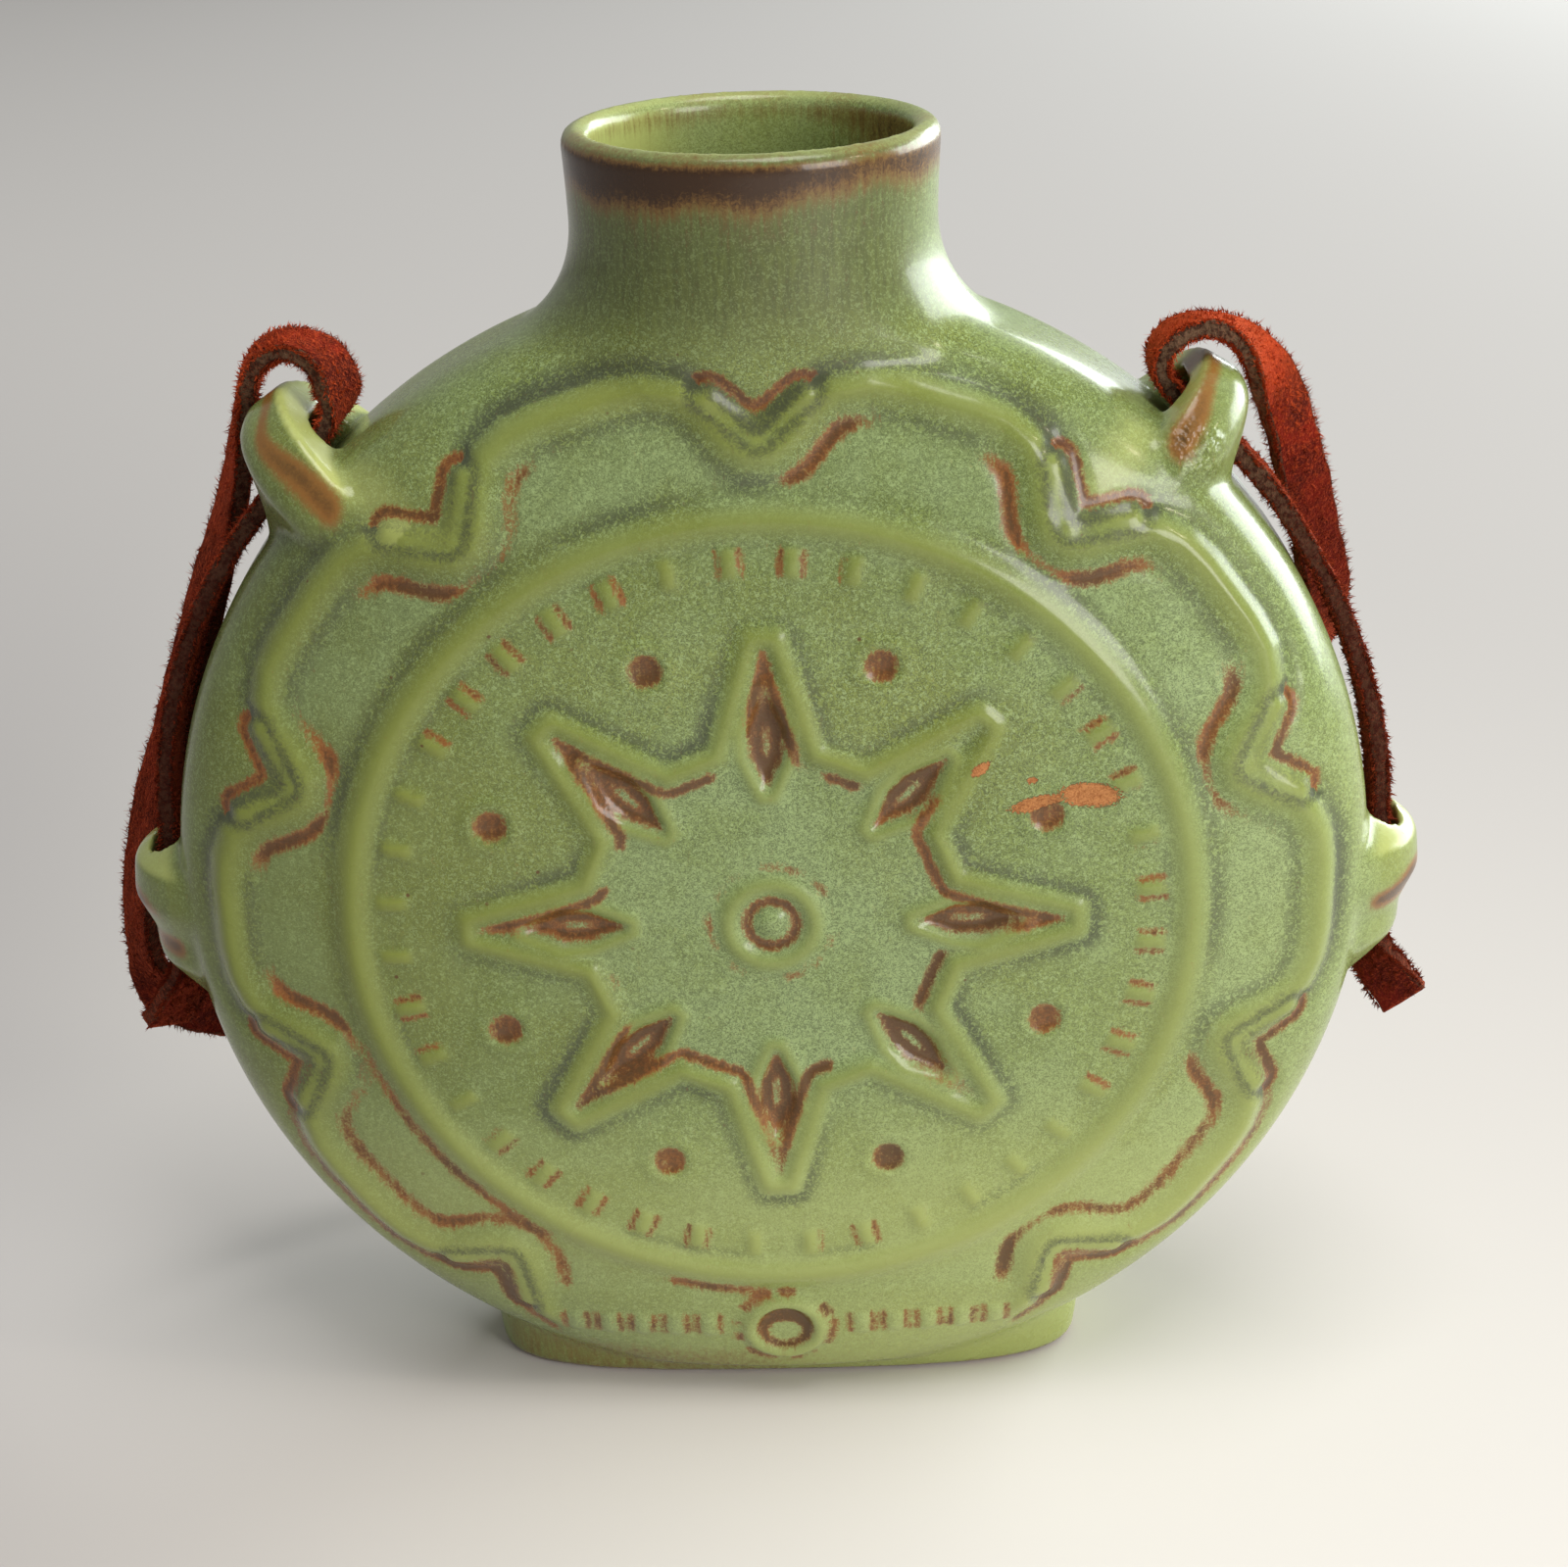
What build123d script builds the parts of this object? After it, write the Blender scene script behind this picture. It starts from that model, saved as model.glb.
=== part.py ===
from build123d import *
from math import atan2, cos, pi, radians, sin, sqrt, tan
import os

# Pilgrim flask: a round, flattened vase of glazed clay on a small foot, with a short wide neck
# and four lugs on its rim, which a suede lace runs through. Sizes are in millimetres.
# The origin is the middle of the standing face, +Z is up and the front looks along -Y.

# Disc body
disc_radius = 74.8
disc_half_depth = 22.0
face_crown_radius = 800.0
rim_crown_radius = 46.0
shoulder_radius = 16.0
wall = 4.0
foot_cut = 2.2
floor_height = 6.5

# Foot
foot_half_width = 39.6
foot_half_depth = 13.3
foot_top_growth = 1.0
foot_height = 9.0
foot_crown_radius = 230.0
foot_corner_radius = 9.0
foot_edge = 1.0
foot_joint_height = 5.6
foot_rim_width = 3.6
foot_recess_depth = 1.4

# Neck
neck_rise = 17.6
neck_radius = 21.5
lip_radius = 21.9
lip_drop = 2.0
bore_radius = 18.6
lip_round = 1.6
neck_joint_drop = 20.0
neck_fillet = 14.0
fillet_steps = 4
root_half_depth = 20.0
root_width_share = 0.9
root_sections = [(5.6, 18.2), (14.0, 17.4)]
throat_half_depth = 15.6
throat_half_width = 27.0
throat_depth = 26.0

# Raised lines of the moulded halves
ridge_height = 1.0
ring_radius = 51.0
ring_width = 3.8
border_crest_radius = 68.0
border_dip_radius = 56.5
border_width = 3.0
border_corner = 1.6
border_lobes = 10
crest_half_angle = 10.0
dip_share = 0.5
chevron_tip_radius = 61.0
chevron_end_radius = 65.5
chevron_half_angle = 4.4
chevron_width = 2.2
base_relief_clearance = 9.6
base_panel_half_width = 30.0
base_panel_top = 18.6

# Star rosette inside the ring
star_points = 8
star_tip_radius = 42.0
star_notch_radius = 19.0
star_line_width = 2.2
star_corner = 0.55
kite_tip_radius = 33.0
kite_foot_radius = 15.0
kite_half_angle = 9.0
eye_radius = 6.4
eye_line_width = 2.2
eye_dot_radius = 1.9
dot_ring_radius = 36.0
dot_radius = 2.0
tick_count = 40
tick_ring_radius = 46.2
tick_length = 2.8
tick_width = 1.8

# Small ring boss and ticks over the foot
boss_height = 12.0
boss_radius = 5.6
boss_line_width = 1.7
base_tick_count = 5
base_tick_first = 10.0
base_tick_pitch = 4.4
base_tick_length = 3.2
base_tick_width = 1.8
base_tick_height = 12.6

# Lugs: each is a bell turned about a line that runs along the rim, and flattened front to back.
# Its outline runs from mouth to heel as (reach along the line, radius, rounding).
lug_axis_radius = 66.0
lug_depth_share = 0.86
lug_hole_height = 4.7
lug_hole_half_width = 5.0
lug_hole_corner = 2.0
lug_hole_reach = 30.0
upper_right_angle = 46.5
upper_left_angle = 136.5
upper_right_outline = [
    (5.6, 17.2, 0.9),
    (0.9, 18.2, 3.0),
    (-1.6, 17.2, 3.0),
    (-8.2, 8.2, 0.9),
]
upper_left_outline = [
    (6.2, 18.7, 0.9),
    (1.0, 19.7, 3.0),
    (-1.4, 18.8, 2.0),
    (-4.4, 14.2, 4.0),
    (-9.8, 8.4, 0.9),
]
lower_right_angle = -2.6
lower_left_angle = 182.6
lower_lug_outline = [
    (9.9, 9.8, 0.9),
    (6.0, 15.9, 2.0),
    (1.4, 16.6, 2.0),
    (-3.4, 14.8, 4.0),
    (-7.4, 14.8, 3.0),
    (-15.2, 9.2, 0.9),
]

# Lace: the plain tube of a flat suede lace 6.5 wide and 2.5 thick
lace_diameter = 3.8
lace_bend_share = 0.45

# The whole route of the lace, from its left cut end to its right one
lace_left_tail = [
    (-81.8, 1.0, 48.8),
    (-79.2, 0.4, 52.8),
    (-76.9, 0.0, 57.4),
    (-77.2, 0.0, 64.4),
]
lace_left_run = [
    (-77.2, 0.0, 77.0),
    (-76.4, 0.0, 88.4),
    (-73.0, 0.0, 100.5),
    (-68.4, 0.0, 110.4),
    (-62.2, 0.0, 119.2),
]
lace_loop = [
    (-52.0, 0.0, 129.8),
    (-50.0, 0.2, 134.2),
    (-51.6, 0.8, 138.6),
    (-56.2, 2.2, 140.0),
    (-61.2, 4.8, 137.2),
    (-63.6, 7.6, 129.8),
    (-66.0, 8.6, 119.6),
    (-70.2, 8.8, 108.6),
    (-74.2, 9.6, 97.6),
    (-78.2, 10.0, 86.6),
    (-82.6, 10.2, 75.4),
    (-85.6, 10.4, 63.8),
    (-86.6, 11.4, 53.2),
    (-84.6, 14.4, 43.8),
    (-76.6, 20.4, 38.6),
    (-64.2, 26.4, 36.8),
    (-48.4, 30.2, 35.6),
    (-29.4, 31.6, 36.4),
    (-8.6, 32.0, 39.2),
    (13.4, 32.0, 45.4),
    (33.6, 31.4, 55.2),
    (50.6, 29.6, 67.6),
    (64.2, 25.2, 79.6),
    (71.4, 18.4, 90.2),
    (72.0, 12.8, 100.8),
    (69.0, 9.6, 111.0),
    (66.2, 7.0, 120.8),
    (63.2, 4.4, 130.0),
    (59.0, 2.2, 137.0),
    (53.6, 0.8, 140.0),
    (49.0, 0.2, 139.0),
    (47.0, 0.0, 135.2),
    (49.6, 0.0, 131.8),
]
lace_right_run = [
    (59.2, 0.0, 123.0),
    (65.0, 0.0, 114.8),
    (70.2, 0.0, 105.6),
    (74.2, 0.0, 95.4),
    (76.6, 0.0, 85.2),
    (77.2, 0.0, 77.0),
]
lace_right_tail = [
    (77.2, 0.0, 64.4),
    (76.9, 0.0, 57.6),
    (79.2, -0.4, 53.2),
    (82.2, -1.0, 49.4),
]

# Places that follow from the sizes
disc_centre_height = disc_radius - foot_cut
flask_height = disc_centre_height + disc_radius + neck_rise
neck_joint_height = flask_height - neck_joint_drop
neck_fillet_x = neck_radius + neck_fillet
waist_height = disc_centre_height + sqrt((disc_radius + neck_fillet) ** 2 - neck_fillet_x**2)
overrun = 2 * disc_radius


def on_rim(angle, radius):
    """The point at an angle round the disc and a radius from its middle."""
    return Vector(radius * cos(radians(angle)), 0, disc_centre_height + radius * sin(radians(angle)))


def in_face(angle, radius):
    """The same point as drawn on the front's own plane, about the disc's middle."""
    return (radius * cos(radians(angle)), radius * sin(radians(angle)))


def round_box(half_width, half_height, crown, corner):
    """An outline with crowned top and bottom, plain ends and rounded corners."""
    drop = half_height - crown
    outline = Rectangle(2 * half_width, 2 * half_height)
    outline &= Pos(0, drop) * Circle(crown)
    outline &= Pos(0, -drop) * Circle(crown)
    return fillet(outline.vertices(), corner)


def disc_solid(inset):
    """The disc turned about the line through its faces, with every surface moved in by inset."""
    depth = disc_half_depth - inset
    radius = disc_radius - inset
    crown = face_crown_radius - inset
    rim = rim_crown_radius - inset
    outline = Pos(radius / 2, 0) * Rectangle(radius, 2 * depth)
    outline &= Pos(0, depth - crown) * Circle(crown)
    outline &= Pos(0, crown - depth) * Circle(crown)
    outline &= Pos(radius - rim, 0) * Circle(rim) + Pos((radius - rim) / 2, 0) * Rectangle(
        radius - rim, 2 * depth
    )
    corners = outline.vertices().group_by(Axis.X)[-1]
    outline = fillet(corners, shoulder_radius - inset)
    return Pos(0, 0, disc_centre_height) * revolve(outline, Axis.Y)


def half_chord(height):
    """Half the width of the disc at a height."""
    return sqrt(disc_radius**2 - (height - disc_centre_height) ** 2)


def neck_outside():
    """The neck above its root, turned about its own line."""
    low = (neck_radius, waist_height)
    high = (lip_radius, flask_height - lip_drop)
    with BuildSketch(Plane.XZ) as section:
        with BuildLine():
            Line((0, waist_height), low)
            Spline(low, high, tangents=[(0, 1), (0, 1)])
            Polyline(high, (lip_radius, flask_height), (0, flask_height), (0, waist_height))
        make_face()
    return revolve(section.sketch, Axis.Z)


def neck_root():
    """The flare between neck and shoulder, lofted down through ellipses wide across the flask."""
    turn = atan2(waist_height - disc_centre_height, neck_fillet_x)
    sections = []
    for step in range(fillet_steps + 1):
        share = step / fillet_steps
        height = waist_height - neck_fillet * sin(turn * share)
        width = neck_fillet_x - neck_fillet * cos(turn * share)
        depth = neck_radius + (root_half_depth - neck_radius) * share**2
        sections.append((height, width, depth))
    touch = sections[-1][0]
    for drop, depth in root_sections:
        width = half_chord(touch - drop) * root_width_share
        sections.append((touch - drop, width, depth))
    return loft([Pos(0, 0, height) * Ellipse(a, b) for height, a, b in sections])


def foot_outside():
    """The foot, with a small edge round its bottom, growing a little towards the disc."""
    lower = round_box(foot_half_width, foot_half_depth, foot_crown_radius, foot_corner_radius)
    edge = offset(lower, -foot_edge)
    upper = offset(lower, foot_top_growth)
    base = loft([edge, Pos(0, 0, foot_edge) * lower], ruled=True)
    return base + loft([Pos(0, 0, foot_edge) * lower, Pos(0, 0, foot_height) * upper], ruled=True)


def foot_recess():
    """The shallow hollow under the foot, inside its standing rim."""
    outline = round_box(foot_half_width, foot_half_depth, foot_crown_radius, foot_corner_radius)
    return extrude(offset(outline, -foot_edge - foot_rim_width), foot_recess_depth)


def hollow():
    """The space inside: the disc's, the throat under the neck and the neck's bore."""
    inside = disc_solid(wall)
    inside &= Pos(0, 0, floor_height) * Box(
        overrun, overrun, overrun, align=(Align.CENTER, Align.CENTER, Align.MIN)
    )
    bore_end = neck_joint_height
    middle = bore_end - throat_depth / 2
    low = bore_end - throat_depth
    throat = loft(
        [
            Pos(0, 0, bore_end) * Ellipse(bore_radius, bore_radius),
            Pos(0, 0, middle) * Ellipse((bore_radius + throat_half_width) / 2, throat_half_depth),
            Pos(0, 0, low) * Ellipse(throat_half_width, throat_half_depth),
        ],
        ruled=True,
    )
    bore = Pos(0, 0, bore_end) * Cylinder(
        bore_radius, overrun, align=(Align.CENTER, Align.CENTER, Align.MIN)
    )
    return inside + throat + bore


def slab(low, high):
    """All the room between two heights."""
    return Pos(0, 0, low) * Box(
        overrun, overrun, high - low, align=(Align.CENTER, Align.CENTER, Align.MIN)
    )


def half_room(side):
    """All the room in front of the seam, for side -1, or behind it, for side 1."""
    return Pos(0, side * overrun / 2, 0) * Box(
        2 * overrun, overrun, overrun, align=(Align.CENTER, Align.CENTER, Align.MIN)
    )


def lug(outline, angle, mouth_side, hole_angle, outside):
    """One lug seated on the rim at an angle, with its slot square to the hole's own angle."""
    points = [(outline[0][0], 0)] + [(reach, radius) for reach, radius, _ in outline]
    points.append((outline[-1][0], 0))
    edge = FilletPolyline(*points, radius=[rounding for _, _, rounding in outline])
    profile = make_face(edge.edges() + [Line(edge @ 1, edge @ 0).edge()])
    bell = scale(revolve(profile, Axis.X), by=(1, 1, lug_depth_share))
    outward = on_rim(angle, 1) - on_rim(angle, 0)
    along = Vector(-outward.Z, 0, outward.X) * mouth_side
    seat = Plane(origin=on_rim(angle, lug_axis_radius), x_dir=along, z_dir=along.cross(outward))

    slot = RectangleRounded(2 * lug_hole_height, 2 * lug_hole_half_width, lug_hole_corner)
    away = on_rim(hole_angle, 1) - on_rim(hole_angle, 0)
    way = Plane(origin=on_rim(angle, disc_radius), x_dir=away, z_dir=away.cross(Vector(0, 1, 0)))
    hole = way * extrude(slot, lug_hole_reach, both=True)
    return seat * bell - hole - outside


def line_band(points, width, corner):
    """A closed line of even width round a polygon, with its corners rounded."""
    shape = make_face(Polyline(*points, close=True).edges())
    shape = fillet(shape.vertices(), corner + width / 2)
    return offset(shape, width / 2) - offset(shape, -width / 2)


def border_outline():
    """The lobed border: a flat crest over each lobe and a dip between lobes."""
    step = 360 / border_lobes
    points = []
    for lobe in range(border_lobes):
        middle = lobe * step
        points.append(in_face(middle - crest_half_angle, border_crest_radius))
        points.append(in_face(middle + crest_half_angle, border_crest_radius))
        points.append(in_face(middle + step * dip_share, border_dip_radius))
    return line_band(points, border_width, border_corner)


def chevron_outlines():
    """A small chevron in each dip of the border."""
    step = 360 / border_lobes
    outlines = []
    for lobe in range(border_lobes):
        middle = (lobe + dip_share) * step
        tip = in_face(middle, chevron_tip_radius)
        left = in_face(middle - chevron_half_angle, chevron_end_radius)
        right = in_face(middle + chevron_half_angle, chevron_end_radius)
        outlines.append(trace(Polyline(left, tip, right), chevron_width))
    return outlines


def star_outline():
    """The eight-pointed star line inside the ring."""
    points = []
    for corner in range(2 * star_points):
        radius = star_notch_radius if corner % 2 else star_tip_radius
        points.append(in_face(90 + corner * 180 / star_points, radius))
    return line_band(points, star_line_width, star_corner)


def kite_outlines():
    """A solid kite inside each arm of the star."""
    outlines = []
    for arm in range(star_points):
        middle = 90 + arm * 360 / star_points
        outlines.append(
            make_face(
                Polyline(
                    in_face(middle, kite_foot_radius),
                    in_face(middle - kite_half_angle, (kite_foot_radius + kite_tip_radius) / 2),
                    in_face(middle, kite_tip_radius),
                    in_face(middle + kite_half_angle, (kite_foot_radius + kite_tip_radius) / 2),
                    close=True,
                ).edges()
            )
        )
    return outlines


def dot_outlines():
    """A round dot between each two arms of the star."""
    outlines = []
    for gap in range(star_points):
        angle = 90 + (gap + dip_share) * 360 / star_points
        outlines.append(Pos(*in_face(angle, dot_ring_radius)) * Circle(dot_radius))
    return outlines


def tick_outlines():
    """The ring of short ticks just inside the ring line."""
    outlines = []
    for tick in range(tick_count):
        angle = 90 + (tick + dip_share) * 360 / tick_count
        spot = Location((*in_face(angle, tick_ring_radius), 0), (0, 0, angle))
        outlines.append(spot * Rectangle(tick_length, tick_width))
    return outlines


def base_outlines():
    """The ring boss in the middle over the foot, and the ticks in a row on both sides of it."""
    boss = Circle(boss_radius) - Circle(boss_radius - boss_line_width)
    outlines = [Pos(0, boss_height - disc_centre_height) * boss]
    tick_level = base_tick_height - disc_centre_height
    for tick in range(base_tick_count):
        reach = base_tick_first + tick * base_tick_pitch
        for place in (-reach, reach):
            outlines.append(Pos(place, tick_level) * Rectangle(base_tick_width, base_tick_length))
    return outlines


def raised(outlines, side, outside):
    """Outlines drawn on the front, cut from a skin of even rise over the clay's outside."""
    skin = (disc_solid(-ridge_height) & half_room(side)) - outside
    face = Plane(origin=(0, 0, disc_centre_height), x_dir=(1, 0, 0), z_dir=(0, -1, 0))
    columns = [extrude(face * outline, -side * overrun) for outline in outlines]
    return skin & Compound(children=[solid for column in columns for solid in column.solids()])


def ring_line(side, outside):
    """The plain ring: a round bead turned into the face, so that a low arc stands out."""
    bead_radius = (ring_width**2 / 4 + ridge_height**2) / (2 * ridge_height)
    crown_drop = face_crown_radius - sqrt(face_crown_radius**2 - ring_radius**2)
    surface = disc_half_depth - crown_drop
    bead = Pos(ring_radius, surface + ridge_height - bead_radius) * Circle(bead_radius)
    ring = Pos(0, 0, disc_centre_height) * revolve(bead, Axis.Y)
    if side < 0:
        ring = mirror(ring, Plane.XZ)
    return ring - outside


def lace_stretches():
    """The lace's free stretches, cut across where it runs through the lugs."""
    parts = [lace_left_tail, lace_left_run, lace_loop, lace_right_run, lace_right_tail]
    names = ["lace_left_tail", "lace_left_run", "lace_loop", "lace_right_run", "lace_right_tail"]
    joints = []
    for before, after in zip(parts, parts[1:]):
        joints.append((Vector(*before[-1]) + Vector(*after[0])) * 0.5)
    stretches = {}
    for index, part in enumerate(parts):
        points = [Vector(*point) for point in part]
        if index > 0:
            points.insert(0, joints[index - 1])
        if index < len(joints):
            points.append(joints[index])
        stretches[names[index]] = points
    return stretches


def lace_tube(name, points):
    """A round tube along straight runs joined by arcs as large as the runs allow."""
    radii = []
    for before, here, after in zip(points, points[1:], points[2:]):
        turn = (here - before).get_angle(after - here)
        run = min((here - before).length, (after - here).length)
        radii.append(lace_bend_share * run / tan(radians(turn / 2)))
    path = FilletPolyline(*points, radius=radii)
    start = Plane(origin=path @ 0, z_dir=path % 0)
    tube = sweep(start * Circle(lace_diameter / 2), path=path)
    section = pi * lace_diameter**2 / 4
    print(
        name,
        "length",
        round(path.length, 1),
        "volume ratio",
        round(tube.volume / (section * path.length), 4),
        "radii",
        [round(radius, 1) for radius in radii],
    )
    return tube


def build():
    """Every piece of the flask, by name."""
    disc = disc_solid(0)
    outside = disc + neck_root() + neck_outside() + foot_outside()
    outside &= slab(0, flask_height)
    clay = outside - hollow()

    pieces = {}
    neck = clay & slab(neck_joint_height, flask_height + wall)
    lip_edges = neck.edges().filter_by(GeomType.CIRCLE).group_by(Axis.Z)[-1]
    pieces["neck_collar"] = fillet(lip_edges, lip_round)
    pieces["foot"] = (clay & slab(0, foot_joint_height)) - foot_recess()
    middle = clay & slab(foot_joint_height, neck_joint_height)
    pieces["front_shell"] = middle & half_room(-1)
    pieces["back_shell"] = middle & half_room(1)

    corners = {
        "lug_upper_right": (upper_right_outline, upper_right_angle, 1, upper_right_angle),
        "lug_upper_left": (upper_left_outline, upper_left_angle, -1, upper_left_angle),
        "lug_lower_right": (lower_lug_outline, lower_right_angle, 1, 0),
        "lug_lower_left": (lower_lug_outline, lower_left_angle, -1, 180),
    }
    for name, (outline, angle, mouth_side, hole_angle) in corners.items():
        pieces[name] = lug(outline, angle, mouth_side, hole_angle, outside)

    above_base = slab(base_relief_clearance, neck_joint_height)
    base_panel = Box(2 * base_panel_half_width, overrun, 2 * base_panel_top)
    eye = Circle(eye_radius) - Circle(eye_radius - eye_line_width)
    rosette = [star_outline(), eye, Circle(eye_dot_radius)] + kite_outlines() + dot_outlines()
    border = [border_outline()] + chevron_outlines()
    for side, half in ((-1, "front"), (1, "back")):
        lines = raised(border, side, outside) & above_base
        pieces[half + "_border"] = lines - base_panel - [pieces[name] for name in corners]
        pieces[half + "_ring_line"] = ring_line(side, outside)
        pieces[half + "_star"] = raised(rosette, side, outside)
        pieces[half + "_ticks"] = raised(tick_outlines(), side, outside)
        pieces[half + "_base_marks"] = raised(base_outlines(), side, outside) & above_base

    for name, points in lace_stretches().items():
        pieces[name] = lace_tube(name, points)
    return pieces


os.makedirs("parts", exist_ok=True)
for name, piece in build().items():
    export_step(piece, os.path.join("parts", name + ".step"))
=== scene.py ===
"""A pilgrim flask of green glazed clay with a suede lace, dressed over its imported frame.

The flask stands on its foot with its front towards -Y. The clay is built as one blank, its
lines are pressed into the blank's faces, and the skin is then parted into the pieces that the
potter joins: two halves, a neck, a foot and four lugs. The lace is one flat strip.
"""
import logging
import math
from contextlib import contextmanager
from dataclasses import dataclass, field
from enum import Enum
from typing import Iterator, Sequence

import bpy
import numpy as np
from mathutils import Matrix, Vector
from mathutils.bvhtree import BVHTree


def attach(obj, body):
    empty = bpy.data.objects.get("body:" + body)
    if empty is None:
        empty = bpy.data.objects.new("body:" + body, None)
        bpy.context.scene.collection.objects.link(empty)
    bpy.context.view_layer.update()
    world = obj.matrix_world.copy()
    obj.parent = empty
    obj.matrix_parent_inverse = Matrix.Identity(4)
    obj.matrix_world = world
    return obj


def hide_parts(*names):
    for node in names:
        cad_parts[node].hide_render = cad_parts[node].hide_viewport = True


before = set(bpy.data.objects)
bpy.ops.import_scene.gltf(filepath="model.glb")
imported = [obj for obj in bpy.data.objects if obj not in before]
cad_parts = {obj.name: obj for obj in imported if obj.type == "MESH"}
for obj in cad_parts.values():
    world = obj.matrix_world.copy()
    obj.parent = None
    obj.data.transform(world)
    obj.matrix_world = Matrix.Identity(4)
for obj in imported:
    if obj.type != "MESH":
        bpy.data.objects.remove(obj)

LOG = logging.getLogger("pilgrim_flask")
MM = 0.001
FAR = 99.0
MERGE_DISTANCE = 2e-6
STRONGEST_TONE = 2.0
CORNER_POINTS = 6
Pair = tuple[float, float]
Point = tuple[float, float, float]
Colour = tuple[float, float, float, float]
Tones = dict[str, np.ndarray]
FACE_TONES = ("rust", "olive", "slate", "pale")
# deep is painted shade and bright is painted light (bright is also part of the lip's pale edge); pale,
# olive, slate and brown carry painted light and shade in places besides the glaze's own colours.
TONE_NAMES = FACE_TONES + ("chip", "bright", "deep", "crawl", "brown", "ember")
Socket = bpy.types.NodeSocket
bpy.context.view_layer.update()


class Joining(Enum):
    """How one closed form meets another."""

    ADD = "UNION"
    CUT = "DIFFERENCE"


class Side(Enum):
    """The two faces of the flask, as the sign of Y."""

    FRONT = -1
    BACK = 1


def ramp(value: np.ndarray, low: float, high: float) -> np.ndarray:
    """A smooth rise from 0 at low to 1 at high."""
    share = np.clip((value - low) / (high - low), 0.0, 1.0)
    return share * share * (3.0 - 2.0 * share)


def bead(value: np.ndarray, half_width: float) -> np.ndarray:
    """A smooth bump that is 1 at 0 and ends at half_width on both sides."""
    share = np.clip(1.0 - np.abs(value) / half_width, 0.0, 1.0)
    return share * share * (3.0 - 2.0 * share)


def band(value: np.ndarray, start: float, full: float, last: float, end: float) -> np.ndarray:
    """A smooth rise from start to full, and a smooth fall from last to end."""
    return ramp(value, start, full) * (1 - ramp(value, last, end))


def wander(angle: np.ndarray, seed: float) -> np.ndarray:
    """A slow, uneven wave round the disc, from 0 to 1."""
    wave = np.sin(3 * angle + seed) + np.sin(7 * angle + 2.3 * seed) + np.sin(13 * angle + 4.1 * seed)
    return np.clip(0.5 + wave / 4.2, 0.0, 1.0)


def line_distance(spots: np.ndarray, line: np.ndarray, closed: bool) -> np.ndarray:
    """The distance from each spot to a line of straight runs.

    Args:
        spots: Places on the face, one row each.
        line: The line's corners.
        closed: True if the last corner joins the first.

    Returns:
        One distance for each spot.
    """
    ends = np.roll(line, -1, axis=0) if closed else line[1:]
    best = np.full(len(spots), 1e9)
    for start, end in zip(line, ends):
        run = end - start
        along = np.clip((spots - start) @ run / (run @ run), 0.0, 1.0)
        best = np.minimum(best, np.hypot(*(spots - start - along[:, None] * run).T))
    return best


def inside(spots: np.ndarray, line: np.ndarray) -> np.ndarray:
    """True for each spot inside a closed line.

    Args:
        spots: Places on the face, one row each.
        line: The line's corners.

    Returns:
        One True or False for each spot.
    """
    within = np.zeros(len(spots), dtype=bool)
    for start, end in zip(line, np.roll(line, -1, axis=0)):
        crosses = (start[1] > spots[:, 1]) != (end[1] > spots[:, 1])
        rise = end[1] - start[1] if abs(end[1] - start[1]) > 1e-9 else 1e-9
        at = start[0] + (spots[:, 1] - start[1]) * (end[0] - start[0]) / rise
        within ^= crosses & (spots[:, 0] < at)
    return within


def signed_distance(spots: np.ndarray, line: np.ndarray) -> np.ndarray:
    """The distance to a closed line, below 0 inside it."""
    return np.where(inside(spots, line), -1.0, 1.0) * line_distance(spots, line, True)


def distance_near(
    spots: np.ndarray, near: np.ndarray, line: np.ndarray, closed: bool = True
) -> np.ndarray:
    """The distance to a line for the spots near it, and FAR for all others.

    Args:
        spots: Places on the face, one row each.
        near: True for each spot that may be on the line.
        line: The line's corners.
        closed: True for a closed line, whose distance is below 0 inside it.

    Returns:
        One distance for each spot.
    """
    off = np.full(len(spots), FAR)
    found = spots[near]
    off[near] = signed_distance(found, line) if closed else line_distance(found, line, False)
    return off


def softened(line: np.ndarray, rounds: int) -> np.ndarray:
    """A closed line with its corners cut back a few times, so that they are round.

    Args:
        line: The line's corners.
        rounds: How often each corner is cut back.

    Returns:
        The corners of the new line.
    """
    for _ in range(rounds):
        after = np.roll(line, -1, axis=0)
        line = np.stack([line * 0.8 + after * 0.2, line * 0.2 + after * 0.8], axis=1).reshape(-1, 2)
    return line


def polar(angle: float, radius: float) -> np.ndarray:
    """A place on the face, from degrees and millimetres."""
    return np.array([radius * math.cos(math.radians(angle)), radius * math.sin(math.radians(angle))])


def way_out(angle: float) -> np.ndarray:
    """The way out from the disc's middle at an angle in degrees."""
    return np.array([math.cos(math.radians(angle)), 0.0, math.sin(math.radians(angle))])


def circle(steps: int) -> list[Pair]:
    """The corners of a unit circle."""
    return [(math.cos(a), math.sin(a)) for a in np.linspace(0, 2 * math.pi, steps + 1)[:-1]]


def unit(rows: np.ndarray) -> np.ndarray:
    """Rows of numbers, each brought to a length of 1."""
    return rows / np.linalg.norm(rows, axis=1)[:, None]


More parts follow.
